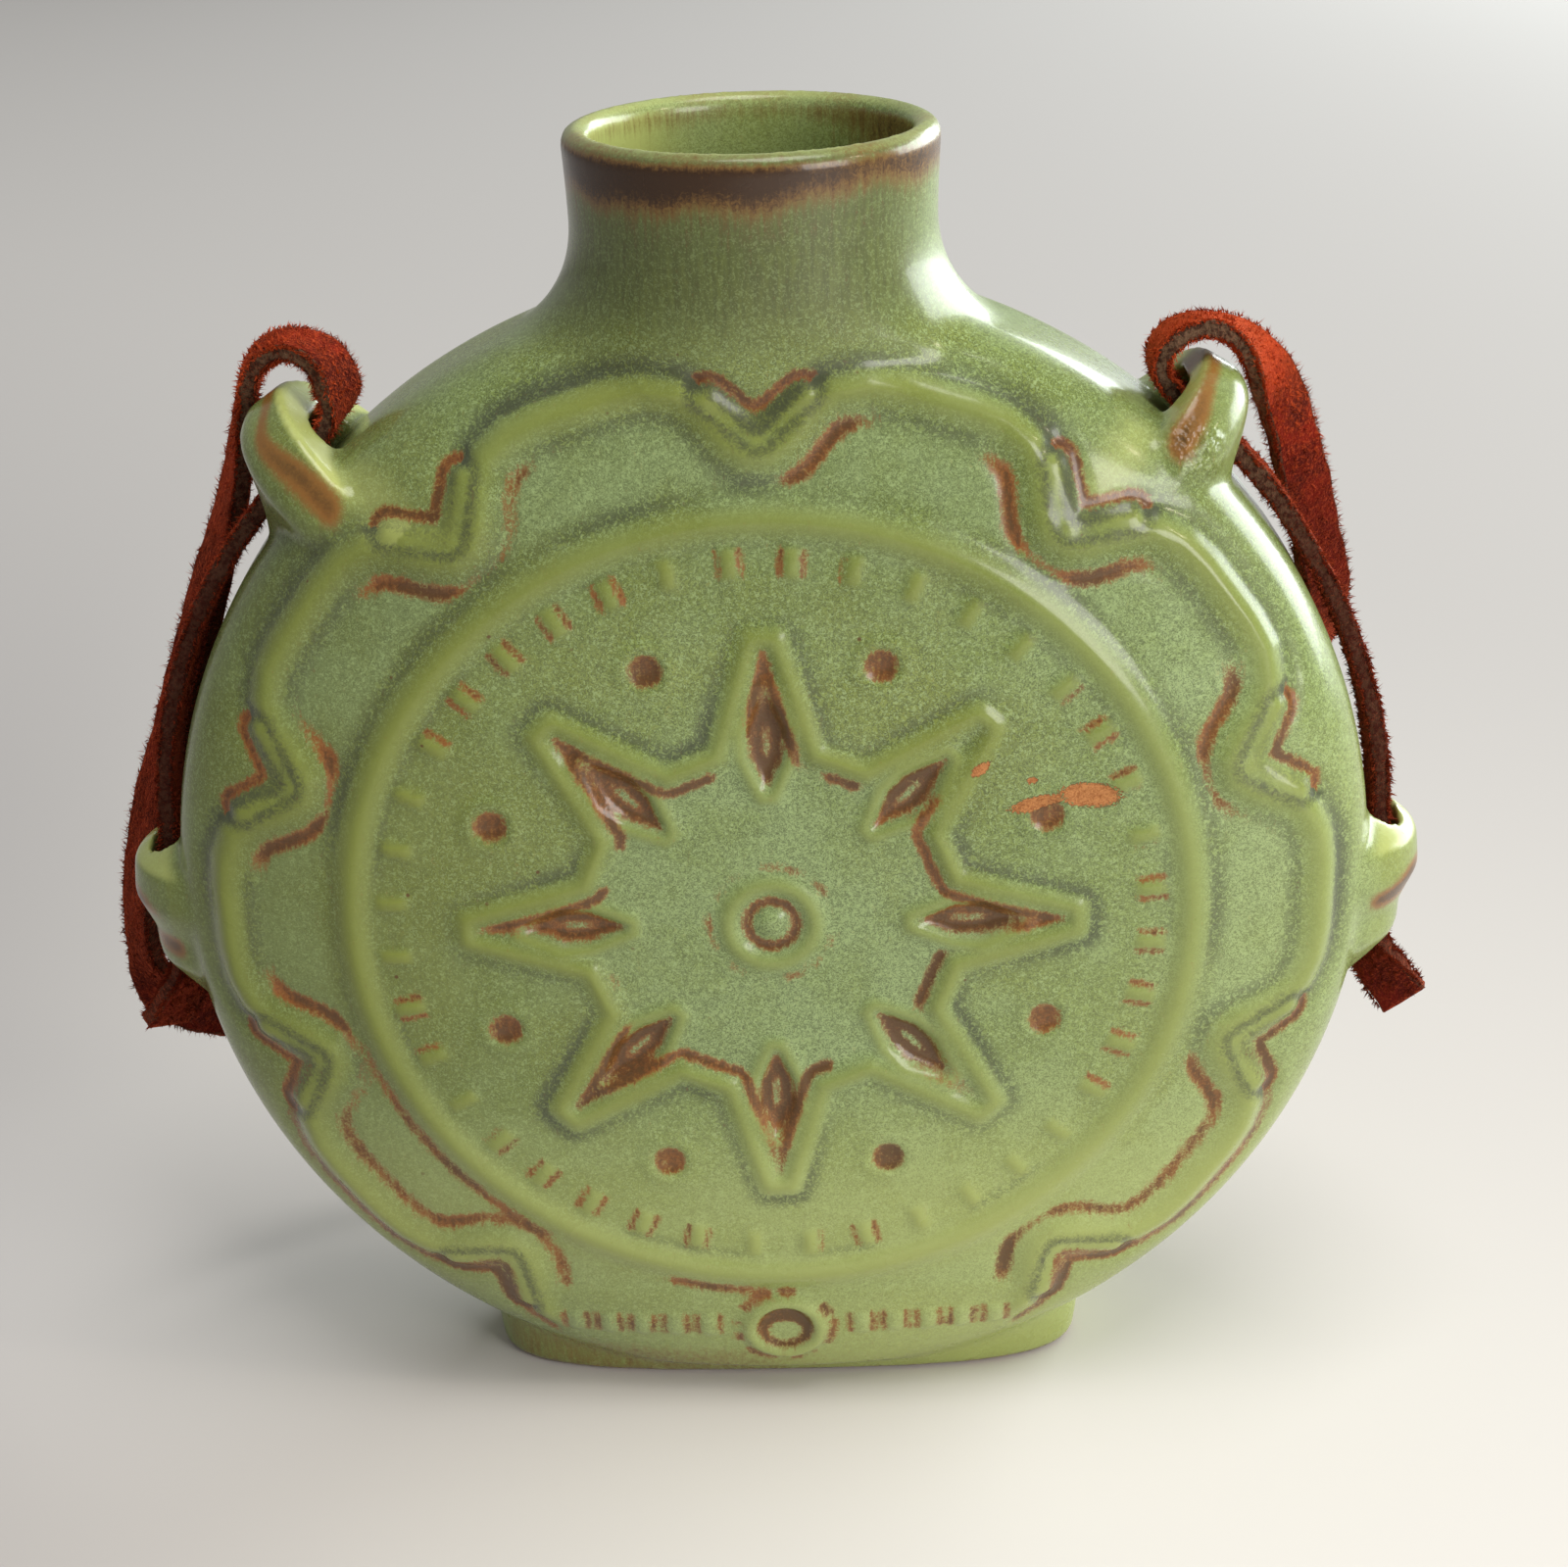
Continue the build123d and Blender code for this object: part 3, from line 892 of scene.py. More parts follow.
@dataclass
class Studio:
    """A pale floor, an even room and soft lamps, with the window side on the right."""

    floor_size: float = 8.0
    floor_colour: Colour = (0.72, 0.69, 0.66, 1)
    # floor_shade is the colour of the painted shade on the floor's left.
    floor_shade: Colour = (0.36, 0.345, 0.345, 1)
    far_colour: Colour = (0.52, 0.50, 0.485, 1)
    room_colour: Colour = (0.78, 0.77, 0.76, 1)
    room_strength: float = 0.40
    target: Point = (0, 0, 0.085)
    lamps: tuple[Lamp, ...] = (
        Lamp("window_light", (1.52, 1.22, 0.50), (2.2, 0.95), 54.0, (0.93, 1.0, 1.0)),
        Lamp("top_light", (0.30, -0.35, 2.1), (1.2, 1.2), 26.0, (1.0, 0.98, 0.95)),
        Lamp("front_fill", (0.46, -0.46, 0.27), (0.3, 0.3), 2.3, (1.0, 0.98, 0.95)),
        Lamp("small_lamp", (0.70, -0.24, 0.56), (0.08, 0.08), 0.5, (1.0, 0.86, 0.66)),
    )

    def build(self) -> None:
        """Lays the floor, lights the room and hangs the lamps."""
        self.lay_floor()
        world = bpy.data.worlds.new("room")
        world.use_nodes = True
        back = world.node_tree.nodes["Background"]
        back.inputs["Color"].default_value = self.room_colour
        back.inputs["Strength"].default_value = self.room_strength
        bpy.context.scene.world = world
        bpy.context.scene.view_settings.view_transform = "Standard"
        for lamp in self.lamps:
            lamp.hang(self.target)

    def lay_floor(self) -> None:
        """Lays the floor, with painted shade to the left of the flask; it is also darker far behind it."""
        Bench.clear()
        bpy.ops.mesh.primitive_plane_add(size=self.floor_size, location=(0, 0, 0))
        floor = bpy.context.object
        floor.name = "pale_floor"
        nodes = Nodes("pale_floor")
        across, away, _ = nodes.axes()
        behind = nodes.rise(nodes.math("ADD", away, nodes.times(across, 0.9)), -0.12, 0.45)
        # Painted shade: the floor darker to the left of the flask.
        near = nodes.mix(nodes.rise(across, -0.18, 0.0, 0.8, 0.0), self.floor_colour, self.floor_shade)
        colour = nodes.mix(behind, near, self.far_colour)
        nodes.surface({"Base Color": colour, "Roughness": 0.9, "Specular IOR Level": 0.1})
        floor.data.materials.append(nodes.material)


class Face:
    """Places on one face of the flask, and the relief and glaze tones that they gather."""

    def __init__(self, spots: np.ndarray) -> None:
        """Starts with a flat, plain face.

        Args:
            spots: Places on a face, as it is seen from its own side, in millimetres.
        """
        self.spots = spots
        self.x, self.v = spots.T
        self.radius = np.hypot(self.x, self.v)
        self.angle = np.arctan2(self.v, self.x)
        self.tone = {name: np.zeros(len(spots)) for name in ("rise", *FACE_TONES)}


@dataclass
class FaceRelief:
    """The lines pressed into both faces, in millimetres about the disc's middle."""

    ring_radius: float = 51.0
    ring_half_width: float = 2.8
    crest_radius: float = 68.0
    dip_radius: float = 56.5
    crest_half_angle: float = 10.0
    lobes: int = 10
    border_half_width: float = 2.7
    chevron_tip: float = 61.0
    chevron_middle: float = 63.5
    chevron_end: float = 65.8
    chevron_half_angle: float = 4.6
    line_half_width: float = 1.8
    star_points: int = 8
    star_tip: float = 42.0
    star_notch: float = 19.0
    kite_tip: float = 33.0
    kite_foot: float = 15.0
    kite_half_angle: float = 9.0
    dot_ring: float = 36.0
    dot_radius: float = 2.6
    eye_radius: float = 5.3
    tick_ring: float = 46.2
    tick_half_width: float = 1.15
    tick_half_length: float = 2.3
    ticks: int = 40
    boss: Point = (0.0, -60.6, 4.6)
    base_ticks: int = 5
    base_tick_start: float = 10.0
    base_tick_step: float = 4.4
    panel_half_width: float = 30.0
    panel_top: float = -54.0

    def border_line(self) -> np.ndarray:
        """The lobed border as a closed line with rounded corners.

        Returns:
            The line's corners, one row each.
        """
        step = 360 / self.lobes
        corners = []
        for lobe in range(self.lobes):
            middle = lobe * step
            corners.append(polar(middle - self.crest_half_angle, self.crest_radius))
            corners.append(polar(middle + self.crest_half_angle, self.crest_radius))
            corners.append(polar(middle + step / 2, self.dip_radius))
        return softened(np.array(corners), 2)

    def star_line(self) -> np.ndarray:
        """The star's outline.

        Returns:
            The line's corners, one row each.
        """
        radii = [self.star_tip, self.star_notch] * self.star_points
        turn = 180 / self.star_points
        return softened(np.array([polar(90 + i * turn, radius) for i, radius in enumerate(radii)]), 1)

    def kite_line(self, middle: float) -> np.ndarray:
        """The outline of the kite in the star's arm at an angle.

        Args:
            middle: The angle of the arm's middle, in degrees.

        Returns:
            The line's corners, one row each.
        """
        waist = (self.kite_foot + self.kite_tip) / 2
        corners = [
            polar(middle, self.kite_foot),
            polar(middle - self.kite_half_angle, waist),
            polar(middle, self.kite_tip),
            polar(middle + self.kite_half_angle, waist),
        ]
        return softened(np.array(corners), 1)

    def press(self, spots: np.ndarray) -> Tones:
        """Works out the relief, where the glaze breaks over it, and a painted light and shade across the
        face.

        Args:
            spots: Places on a face, as it is seen from its own side.

        Returns:
            The rise in millimetres, and the strength of each glaze tone, for each spot.
        """
        face = Face(spots)
        self.press_ring(face)
        self.press_border(face)
        self.press_chevrons(face)
        self.press_star(face)
        for arm in range(self.star_points):
            self.press_arm(face, arm)
        self.press_eye(face)
        self.press_ticks(face)
        self.press_base(face)
        # Painted light: paler towards the lower right; painted shade: olive towards the left.
        face.tone["pale"] += 0.6 * ramp(face.x - face.v, -10.0, 60.0)
        face.tone["olive"] += 0.3 * ramp(-face.x, 5.0, 45.0) * (1 - ramp(np.abs(face.v), 10.0, 45.0))
        return face.tone

    def press_ring(self, face: Face) -> None:
        """Adds the ring round the star, with slate beside it and rust at its lower left.

        Args:
            face: The face to press.
        """
        low = ramp(-face.v, -10.0, 40.0)
        off = face.radius - self.ring_radius
        ridge = bead(off, self.ring_half_width)
        face.tone["rise"] += 0.95 * ridge - 0.28 * bead(off - 3.5, 1.7)
        face.tone["olive"] += ridge
        groove = band(off, 1.4, 2.8, 3.0, 6.5)
        face.tone["slate"] += 0.8 * groove * (1 - 0.8 * low) * (0.3 + 0.6 * wander(face.angle, 0.6))
        patchy = ramp(wander(face.angle, 2.9), 0.35, 0.6) * ramp(-face.x, -25.0, 10.0)
        face.tone["rust"] += bead(off - 3.2, 1.7) * low * patchy
        brink = band(-off, 1.6, 2.6, 2.8, 5.0)
        face.tone["slate"] += 0.45 * brink * ramp(wander(face.angle, 6.3), 0.45, 0.7)

    def press_border(self, face: Face) -> None:
        """Adds the lobed border and its sunk panels, open over the foot.

        Args:
            face: The face to press.
        """
        low = ramp(-face.v, 5.0, 45.0)
        over_foot = ramp(self.panel_half_width - np.abs(face.x), -1.5, 1.5)
        open_foot = 1 - over_foot * ramp(self.panel_top - face.v, -1.5, 1.5)
        off = distance_near(face.spots, face.radius > self.ring_radius - 6, self.border_line())
        ridge = bead(off, self.border_half_width) * open_foot
        outer = bead(off - 3.3, 2.0) * open_foot
        step = 360 / self.lobes
        phase = np.abs((np.degrees(face.angle) + step / 2) % step - step / 2)
        stroke = ramp(wander(face.angle, 5.1), 0.12, 0.55) * ramp(phase, 4.0, 9.5)
        stroke = np.maximum(stroke, 0.72 * ramp(-face.v, 12.0, 34.0))
        inner = bead(off + 4.0, 1.9) * stroke * open_foot * ramp(face.radius, 54.0, 56.0)
        panel = ramp(-off, 2.2, 4.2) * ramp(face.radius, 54.0, 56.5) * open_foot
        face.tone["rise"] += ridge - 0.3 * outer - 0.3 * inner - 0.4 * panel
        face.tone["olive"] += ridge
        fade = band(off, 1.0, 2.6, 2.4, 6.4) * open_foot
        face.tone["slate"] += fade * (0.45 + 0.55 * wander(face.angle, 3.3)) * (1 - 0.6 * low)
        face.tone["rust"] += 0.95 * bead(off - 3.0, 1.7) * open_foot * low + 1.25 * inner
        hem = band(-off, 1.6, 2.6, 3.0, 6.0) * open_foot
        face.tone["slate"] += 0.55 * hem * (1 - stroke)
        face.tone["pale"] += panel

    def press_chevrons(self, face: Face) -> None:
        """Adds the chevron in each dip of the border but the lowest.

        Args:
            face: The face to press.
        """
        for lobe in range(self.lobes):
            middle = (lobe + 0.5) * 360 / self.lobes
            if abs(middle - 270) < 1:
                continue
            near = np.hypot(*(face.spots - polar(middle, self.chevron_middle)).T) < 12
            tip = polar(middle, self.chevron_tip)
            first = polar(middle - self.chevron_half_angle, self.chevron_end)
            last = polar(middle + self.chevron_half_angle, self.chevron_end)
            off = distance_near(face.spots, near, np.array([first, tip, last]), closed=False)
            mouth = np.array([tip, tip + (first - tip) * 3, tip + (last - tip) * 3])
            held = near & inside(face.spots, mouth)
            line = bead(off, self.line_half_width)
            face.tone["rise"] += 0.7 * line - 0.15 * bead(off - 2.4, 1.4)
            face.tone["olive"] += line
            face.tone["rust"] += 1.15 * bead(off - 2.0, 1.3) * held
            face.tone["slate"] += 0.7 * band(off, 0.9, 1.9, 2.0, 4.2) * ~held

    def press_star(self, face: Face) -> None:
        """Adds the star and sinks the cell inside it.

        Args:
            face: The face to press.
        """
        off = distance_near(face.spots, face.radius < self.ring_radius - 4, self.star_line())
        line = bead(off, self.line_half_width)
        cell = ramp(-off, 1.2, 2.6)
        face.tone["rise"] += 0.85 * line - 0.45 * cell
        face.tone["olive"] += line
        face.tone["pale"] += 0.9 * cell
        face.tone["rust"] += 1.25 * bead(off + 2.3, 1.3) * ramp(wander(face.angle, 7.7), 0.25, 0.5)
        edge = band(off, 0.9, 1.9, 2.0, 5.0)
        face.tone["slate"] += 0.9 * edge * (0.35 + 0.6 * wander(face.angle, 8.2))

    def press_arm(self, face: Face, arm: int) -> None:
        """Adds the kite in one arm of the star and the pit after the arm.

        Args:
            face: The face to press.
            arm: The arm's number, from the top one on.
        """
        middle = 90 + arm * 360 / self.star_points
        centre = polar(middle, (self.kite_foot + self.kite_tip) / 2)
        near = np.hypot(*(face.spots - centre).T) < 14
        off = distance_near(face.spots, near, self.kite_line(middle))
        face.tone["rise"] += 0.75 * bead(off, 1.3) - 0.75 * ramp(-off, 0.4, 1.5)
        face.tone["olive"] += bead(off, 1.2)
        face.tone["rust"] += 1.35 * bead(off + 1.9, 1.5)
        face.tone["pale"] += ramp(-off, 2.0, 3.2)
        pit = polar(middle + 180 / self.star_points, self.dot_ring)
        off = np.hypot(*(face.spots - pit).T) - self.dot_radius
        face.tone["rise"] += 0.35 * bead(off - 0.3, 1.2) - 0.5 * ramp(-0.2 - off, 0.0, 1.2)
        face.tone["rust"] += 1.05 * ramp(-off, 0.0, 1.1)

    def press_eye(self, face: Face) -> None:
        """Adds the ring and the bead in the star's middle.

        Args:
            face: The face to press.
        """
        rim = bead(face.radius - self.eye_radius, 1.7)
        face.tone["rise"] += 0.85 * rim - 0.4 * bead(face.radius - 2.9, 1.2)
        face.tone["rise"] += 0.7 * ramp(2.3 - face.radius, 0.0, 1.2)
        face.tone["olive"] += rim
        outer = bead(face.radius - 7.6, 1.2) * wander(face.angle, 4.4)
        face.tone["rust"] += 1.2 * bead(face.radius - 3.0, 1.3) + 0.8 * outer

    def press_ticks(self, face: Face) -> None:
        """Adds the ring of short ticks, with rust beside some of them.

        Args:
            face: The face to press.
        """
        step = 2 * math.pi / self.ticks
        turns = face.angle / step - 0.5
        near = np.abs(turns - np.round(turns)) * step * face.radius
        beyond = np.abs(face.radius - self.tick_ring)
        tick = ramp(1.0 - near / self.tick_half_width, 0.0, 0.5)
        tick *= ramp(self.tick_half_length - beyond, 0.0, 1.0)
        face.tone["rise"] += 0.55 * tick
        face.tone["olive"] += tick
        broken = ramp(wander(face.angle, 1.7), 0.3, 0.62)
        hem = bead(near - 1.35, 0.9) * ramp(2.4 - beyond, 0.0, 1.0)
        face.tone["rust"] += 0.95 * hem * broken

    def press_base(self, face: Face) -> None:
        """Adds the ring boss with a painted highlight in it, and the ticks over the foot.

        Args:
            face: The face to press.
        """
        across, height, boss_radius = self.boss
        x, v = face.x - across, face.v - height
        off = np.hypot(x, v)
        # Painted highlight: a pale glint low inside the boss, where the rust is left out.
        painted_glint = ramp(2.3 - np.hypot(x / 1.2, v + 1.2), 0.0, 1.1)
        face.tone["rise"] += 1.15 * bead(off - boss_radius, 1.55) - 0.5 * ramp(3.9 - off, 0.0, 1.0)
        face.tone["olive"] *= 1 - ramp(7.5 - off, 0.0, 1.0)
        face.tone["olive"] += 0.5 * bead(off - boss_radius, 1.3)
        face.tone["rust"] += 1.15 * ramp(4.1 - off, 0.0, 0.8) * (1 - painted_glint)
        face.tone["pale"] += painted_glint + 0.4 * bead(off - boss_radius, 1.3)
        patchy = ramp(wander(np.arctan2(v, x), 1.7), 0.15, 0.55)
        face.tone["rust"] += 0.95 * bead(off - 6.3, 1.5) * patchy
        tall = np.abs(v - 0.6)
        for tick in range(self.base_ticks):
            side = np.abs(np.abs(face.x) - self.base_tick_start - tick * self.base_tick_step)
            mark = ramp(1.25 - side, 0.0, 0.8) * ramp(2.2 - tall, 0.0, 0.9)
            face.tone["rise"] += 0.55 * mark
            face.tone["rust"] += 0.9 * bead(side - 1.5, 1.0) * ramp(2.4 - tall, 0.0, 0.9)
            face.tone["pale"] += mark


LOWER_OUTLINE = (
    (9.9, 9.8, 0.9),
    (6.0, 15.9, 2.0),
    (1.4, 16.6, 2.0),
    (-3.4, 14.8, 4.0),
    (-7.4, 14.8, 3.0),
    (-15.2, 9.2, 0.9),
)


@dataclass(frozen=True)
class Lug:
    """One lug: a bell on the rim, flattened front to back, with a slot under its crest.

    Its outline runs from mouth to heel as reach along the rim, distance from its line and rounding.
    The glaze breaks at its rim, set back evenly and towards its legs, or at a height along it.
    """

    name: str
    outline: tuple[Point, ...]
    angle: float
    mouth_side: int
    hole_angle: float
    rim_setback: Pair = (0.0, 0.0)
    break_height: float = 0.0
    axis_radius: float = 66.0
    depth_share: float = 0.86
    turn_steps: int = 96
    slot_size: Point = (14.4, 10.4, 70.0)
    slot_rounding: float = 2.6
    slot_sink: float = 2.5
    half_reach: float = 18.0
    full_radius: float = 22.5

    def out(self) -> np.ndarray:
        """The way out from the disc's middle."""
        return way_out(self.angle)

    def along(self) -> np.ndarray:
        """The way along the rim to the lug's mouth."""
        out = self.out()
        return np.array([-out[2], 0.0, out[0]]) * self.mouth_side

    def is_upper(self) -> bool:
        """True for a lug on one of the shoulders."""
        return 20 < self.angle < 160

    def seat(self, centre_height: float) -> np.ndarray:
        """The point on the lug's own line."""
        return self.out() * self.axis_radius + np.array([0, 0, centre_height])

    def build(self, centre_height: float, disc_radius: float) -> bpy.types.Object:
        """Turns the bell, flattens it and cuts its slot.

        Args:
            centre_height: The disc's middle over the floor.
            disc_radius: The disc's own radius.

        Returns:
            The closed arch, whose legs end inside the disc.
        """
        outline = [(out, along) for along, out in Bench.rounded(self.outline)]
        seat = tuple(self.seat(centre_height) * MM)
        bell = Bench.turned("lug", outline, seat, tuple(self.along()), self.turn_steps)
        bell.scale = (1, self.depth_share, 1)
        Bench.settle(bell)
        out = Vector(way_out(self.hole_angle))
        rim = Vector(self.out()) * disc_radius + Vector((0, 0, centre_height))
        Bench.clear()
        bpy.ops.mesh.primitive_cube_add(size=1, location=(0, 0, 0))
        slot = bpy.context.object
        slot.scale = [length * MM for length in self.slot_size]
        Bench.settle(slot)
        Bench.finish(slot, "BEVEL", width=self.slot_rounding * MM, segments=6, limit_method="NONE")
        turn = Matrix((out, Vector((0, 1, 0)), out.cross(Vector((0, 1, 0))))).transposed()
        slot.matrix_world = Matrix.Translation((rim - out * self.slot_sink) * MM) @ turn.to_4x4()
        Bench.settle(slot)
        Bench.join(bell, slot, Joining.CUT)
        return bell

    def rim(self, deep: np.ndarray) -> np.ndarray:
        """How far along the rim of the flask the mouth's edge is, at each depth.

        Args:
            deep: Each spot's place from front to back.

        Returns:
            One distance along the rim for each spot.
        """
        if self.is_upper():
            even, bowed = self.rim_setback
            return self.outline[0][0] - 0.7 - even - bowed * bead(deep - 9.0, 6.0)
        return 3.4 - 0.16 * deep

    def holds(self, spots: np.ndarray, size: np.ndarray, centre_height: float) -> np.ndarray:
        """True for each spot that is on this lug and not on the disc.

        Args:
            spots: Places on the skin in millimetres, one row each.
            size: The disc's size at each spot.
            centre_height: The height of the disc's middle.

        Returns:
            One True or False for each spot.
        """
        off = spots - self.seat(centre_height)
        out = off @ self.out()
        within = (np.abs(off @ self.along()) < self.half_reach) & (out > 0)
        return within & (np.hypot(out, off[:, 1]) < self.full_radius) & (size > 1.008)


@dataclass(frozen=True)
class Chip:
    """A chip in the front's glaze: its place about the disc's middle, half sizes and lean."""

    x: float
    v: float
    wide: float
    tall: float
    lean: float

    def strength(self, x: np.ndarray, v: np.ndarray) -> np.ndarray:
        """How deep each spot is in the chip: 1 in its middle and 0.5 at its edge.

        Args:
            x: How far each spot is to the right of the disc's middle.
            v: How far it is above the disc's middle.

        Returns:
            One strength for each spot, below 0 far from the chip.
        """
        across = (x - self.x) * math.cos(self.lean) + (v - self.v) * math.sin(self.lean)
        rise = (v - self.v) * math.cos(self.lean) - (x - self.x) * math.sin(self.lean)
        return 1 - np.hypot(across / self.wide, rise / self.tall) * 0.5


@dataclass
class ClayBody:
    """The fired clay: blank, relief and the parting into the joined pieces.

    Levels are height, half width and half depth. Those of the foot are added to its own half sizes.
    Sizes of the disc, as from disc_size, tell what is inside, on or outside its surface.
    """

    centre_height: float = 72.6
    disc_radius: float = 74.84
    disc_half_depth: float = 22.05
    disc_power: float = 4.0
    disc_steps: int = 224
    wall: float = 4.0
    floor_height: float = 6.5
    foot_half_width: float = 39.6
    foot_half_depth: float = 13.3
    foot_levels: tuple[Point, ...] = (
        (0.0, -1.3, -1.3),
        (0.25, -0.6, -0.6),
        (0.8, -0.12, -0.12),
        (1.5, 0.0, 0.0),
        (4.0, 0.3, 0.35),
        (7.0, 0.5, 0.8),
        (9.5, 0.5, 1.1),
        (14.0, -1.5, -0.5),
    )
    foot_hollow_levels: tuple[Point, ...] = ((-1.0, -4.0, -4.0), (0.2, -4.2, -4.2), (1.4, -5.4, -5.4))
    neck_radius: float = 21.5
    neck_fillet: float = 14.0
    neck_levels: tuple[Point, ...] = ((123.0, 44.0, 16.6), (129.0, 40.0, 17.6), (135.6, 36.3, 18.3))
    lip_radius: float = 21.9
    lip_edge: float = 1.7
    bore_radius: float = 18.6
    throat_levels: tuple[Point, ...] = (
        (112.0, 27.0, 14.6),
        (119.0, 26.4, 15.0),
        (129.0, 22.8, 15.4),
        (138.0, 19.8, 16.6),
        (145.0, 18.7, 18.2),
    )
    bore_heights: Pair = (149.0, 157.0)
    neck_wall_radii: Pair = (20.0, 20.8)
    height: float = 165.0
    neck_joint: float = 145.0
    foot_joint: float = 5.6
    turn_steps: int = 160
    neck_steps: int = 192
    voxel: float = 0.55
    inner_size: float = 0.975
    inner_heights: Pair = (4.5, 138.0)
    inner_thinning: float = 0.94
    outer_size: float = 0.985
    flat_size: float = 1.03
    size_in_mm: float = 40.0
    joint_reaches: tuple[float, ...] = (7.0, 2.6, 2.6, 2.6, 2.6, 2.6)
    joint_rounds: tuple[int, ...] = (60, 24, 16, 16, 16, 16)
    soft_top: float = 153.0
    join_heights: Pair = (20.0, 136.0)
    crawl_spot: Point = (50.0, -15.5, 127.5)
    crawl_radius: float = 7.0
    relief: FaceRelief = field(default_factory=FaceRelief)
    chips: tuple[Chip, ...] = (
        Chip(32.0, 15.4, 3.6, 1.0, 0.25),
        Chip(38.4, 16.2, 3.9, 1.7, -0.1),
        Chip(25.3, 20.2, 1.5, 0.8, 0.6),
        Chip(31.4, 18.3, 0.8, 0.5, 0.2),
    )
    lugs: tuple[Lug, ...] = (
        Lug(
            "lug_upper_right",
            ((5.6, 17.2, 0.9), (0.9, 18.2, 3.0), (-1.6, 17.2, 3.0), (-8.2, 8.2, 0.9)),
            angle=46.5,
            mouth_side=1,
            hole_angle=46.5,
        ),
        Lug(
            "lug_upper_left",
            ((6.2, 18.7, 0.9), (1.0, 19.7, 3.0), (-1.4, 18.8, 2.0), (-4.4, 14.2, 4.0), (-9.8, 8.4, 0.9)),
            angle=136.5,
            mouth_side=-1,
            hole_angle=136.5,
            rim_setback=(0.7, 1.9),
        ),
        Lug("lug_lower_right", LOWER_OUTLINE, -2.6, 1, hole_angle=0.0, break_height=-0.8),
        Lug("lug_lower_left", LOWER_OUTLINE, 182.6, -1, hole_angle=180.0, break_height=-4.4),
    )

    def disc(self, radius: float, half_depth: float) -> bpy.types.Object:
        """The round, flattened body as one turned form.

        Args:
            radius: Its radius.
            half_depth: Half its size from front to back.

        Returns:
            The closed form.
        """
        power = 2 / self.disc_power
        outline = []
        for share in np.linspace(0, math.pi / 2, 49):
            outline.append((radius * math.sin(share) ** power, -half_depth * math.cos(share) ** power))
        outline += [(out, -along) for out, along in reversed(outline[:-1])]
        middle = (0, 0, self.centre_height * MM)
        return Bench.turned("disc", outline, middle, (0, 1, 0), self.disc_steps)

    def disc_size(self, spots: np.ndarray) -> np.ndarray:
        """How large the disc would be for its surface to pass through each spot: 1 is its own.

        Args:
            spots: Places on the skin in millimetres, one row each.

        Returns:
            One size for each spot.
        """
        radius = np.hypot(spots[:, 0], spots[:, 2] - self.centre_height)
        deep = (np.abs(spots[:, 1]) / self.disc_half_depth) ** self.disc_power
        return (deep + (radius / self.disc_radius) ** self.disc_power) ** (1 / self.disc_power)

    def neck_sections(self) -> list[Point]:
        """The levels of the neck's root, from the shoulder up.

        Returns:
            The height, half width and half depth of each level.
        """
        flare_x = self.neck_radius + self.neck_fillet
        reach = self.disc_radius + self.neck_fillet
        waist = self.centre_height + math.sqrt(reach**2 - flare_x**2)
        turn = math.atan2(waist - self.centre_height, flare_x)
        sections = list(self.neck_levels)
        for share in np.linspace(1, 0, 13):
            level = waist - self.neck_fillet * math.sin(turn * share)
            wide = flare_x - self.neck_fillet * math.cos(turn * share)
            sections.append((level, wide, self.neck_radius - 1.5 * share**2))
        return sections

    def neck(self) -> bpy.types.Object:
        """The neck's outside from root to lip, still solid.

        Returns:
            The closed form.
        """
        sections = self.neck_sections()
        top, edge = sections[-1][0], self.lip_edge
        for share in np.linspace(0.1, 1, 10):
            wide = self.neck_radius + (self.lip_radius - self.neck_radius) * share**1.6
            sections.append((top + (self.height - edge - top) * share, wide, wide))
        for turn in np.linspace(0, math.pi / 2, 9)[1:]:
            wide = self.lip_radius - edge + edge * math.cos(turn)
            sections.append((self.height - edge + edge * math.sin(turn), wide, wide))
        return Bench.lofted("neck", circle(self.neck_steps), sections)

    def foot_form(self, name: str, levels: Sequence[Point]) -> bpy.types.Object:
        """An oval with full ends, drawn up through levels about the foot's own half sizes.

        Args:
            name: The form's name.
            levels: Each level's height and what is added to the half sizes.

        Returns:
            The closed form.
        """
        outline = []
        for x, y in circle(self.turn_steps):
            size = (abs(x) ** 3.0 + abs(y) ** 3.0) ** (-1 / 3.0)
            outline.append((x * size, y * size))
        wide, deep = self.foot_half_width, self.foot_half_depth
        return Bench.lofted(name, outline, [(level, wide + x, deep + y) for level, x, y in levels])

    def foot(self) -> bpy.types.Object:
        """The low foot, rounded where it stands and hollowed a little.

        Returns:
            The closed form.
        """
        foot = self.foot_form("foot", self.foot_levels)
        hollow = self.foot_form("foot_hollow", self.foot_hollow_levels)
        Bench.join(foot, hollow, Joining.CUT)
        return foot

    def hollow(self) -> bpy.types.Object:
        """The space inside: the disc's, the throat's and the neck's bore with its soft lip.

        Returns:
            The closed form that is cut out of the clay.
        """
        room = self.disc(self.disc_radius - self.wall, self.disc_half_depth - self.wall)
        Bench.trim(room, self.floor_height)
        edge, bore = self.lip_edge, self.bore_radius
        sections = list(self.throat_levels)
        sections += [(level, bore, bore) for level in (*self.bore_heights, self.height - edge)]
        for turn in np.linspace(0, math.pi / 2, 8)[1:]:
            wide = bore + edge - edge * math.cos(turn)
            sections.append((self.height - edge + edge * math.sin(turn) * 1.02, wide, wide))
        sections.append((self.height + 4, bore + edge, bore + edge))
        Bench.join(room, Bench.lofted("throat", circle(self.turn_steps), sections), Joining.ADD)
        return room

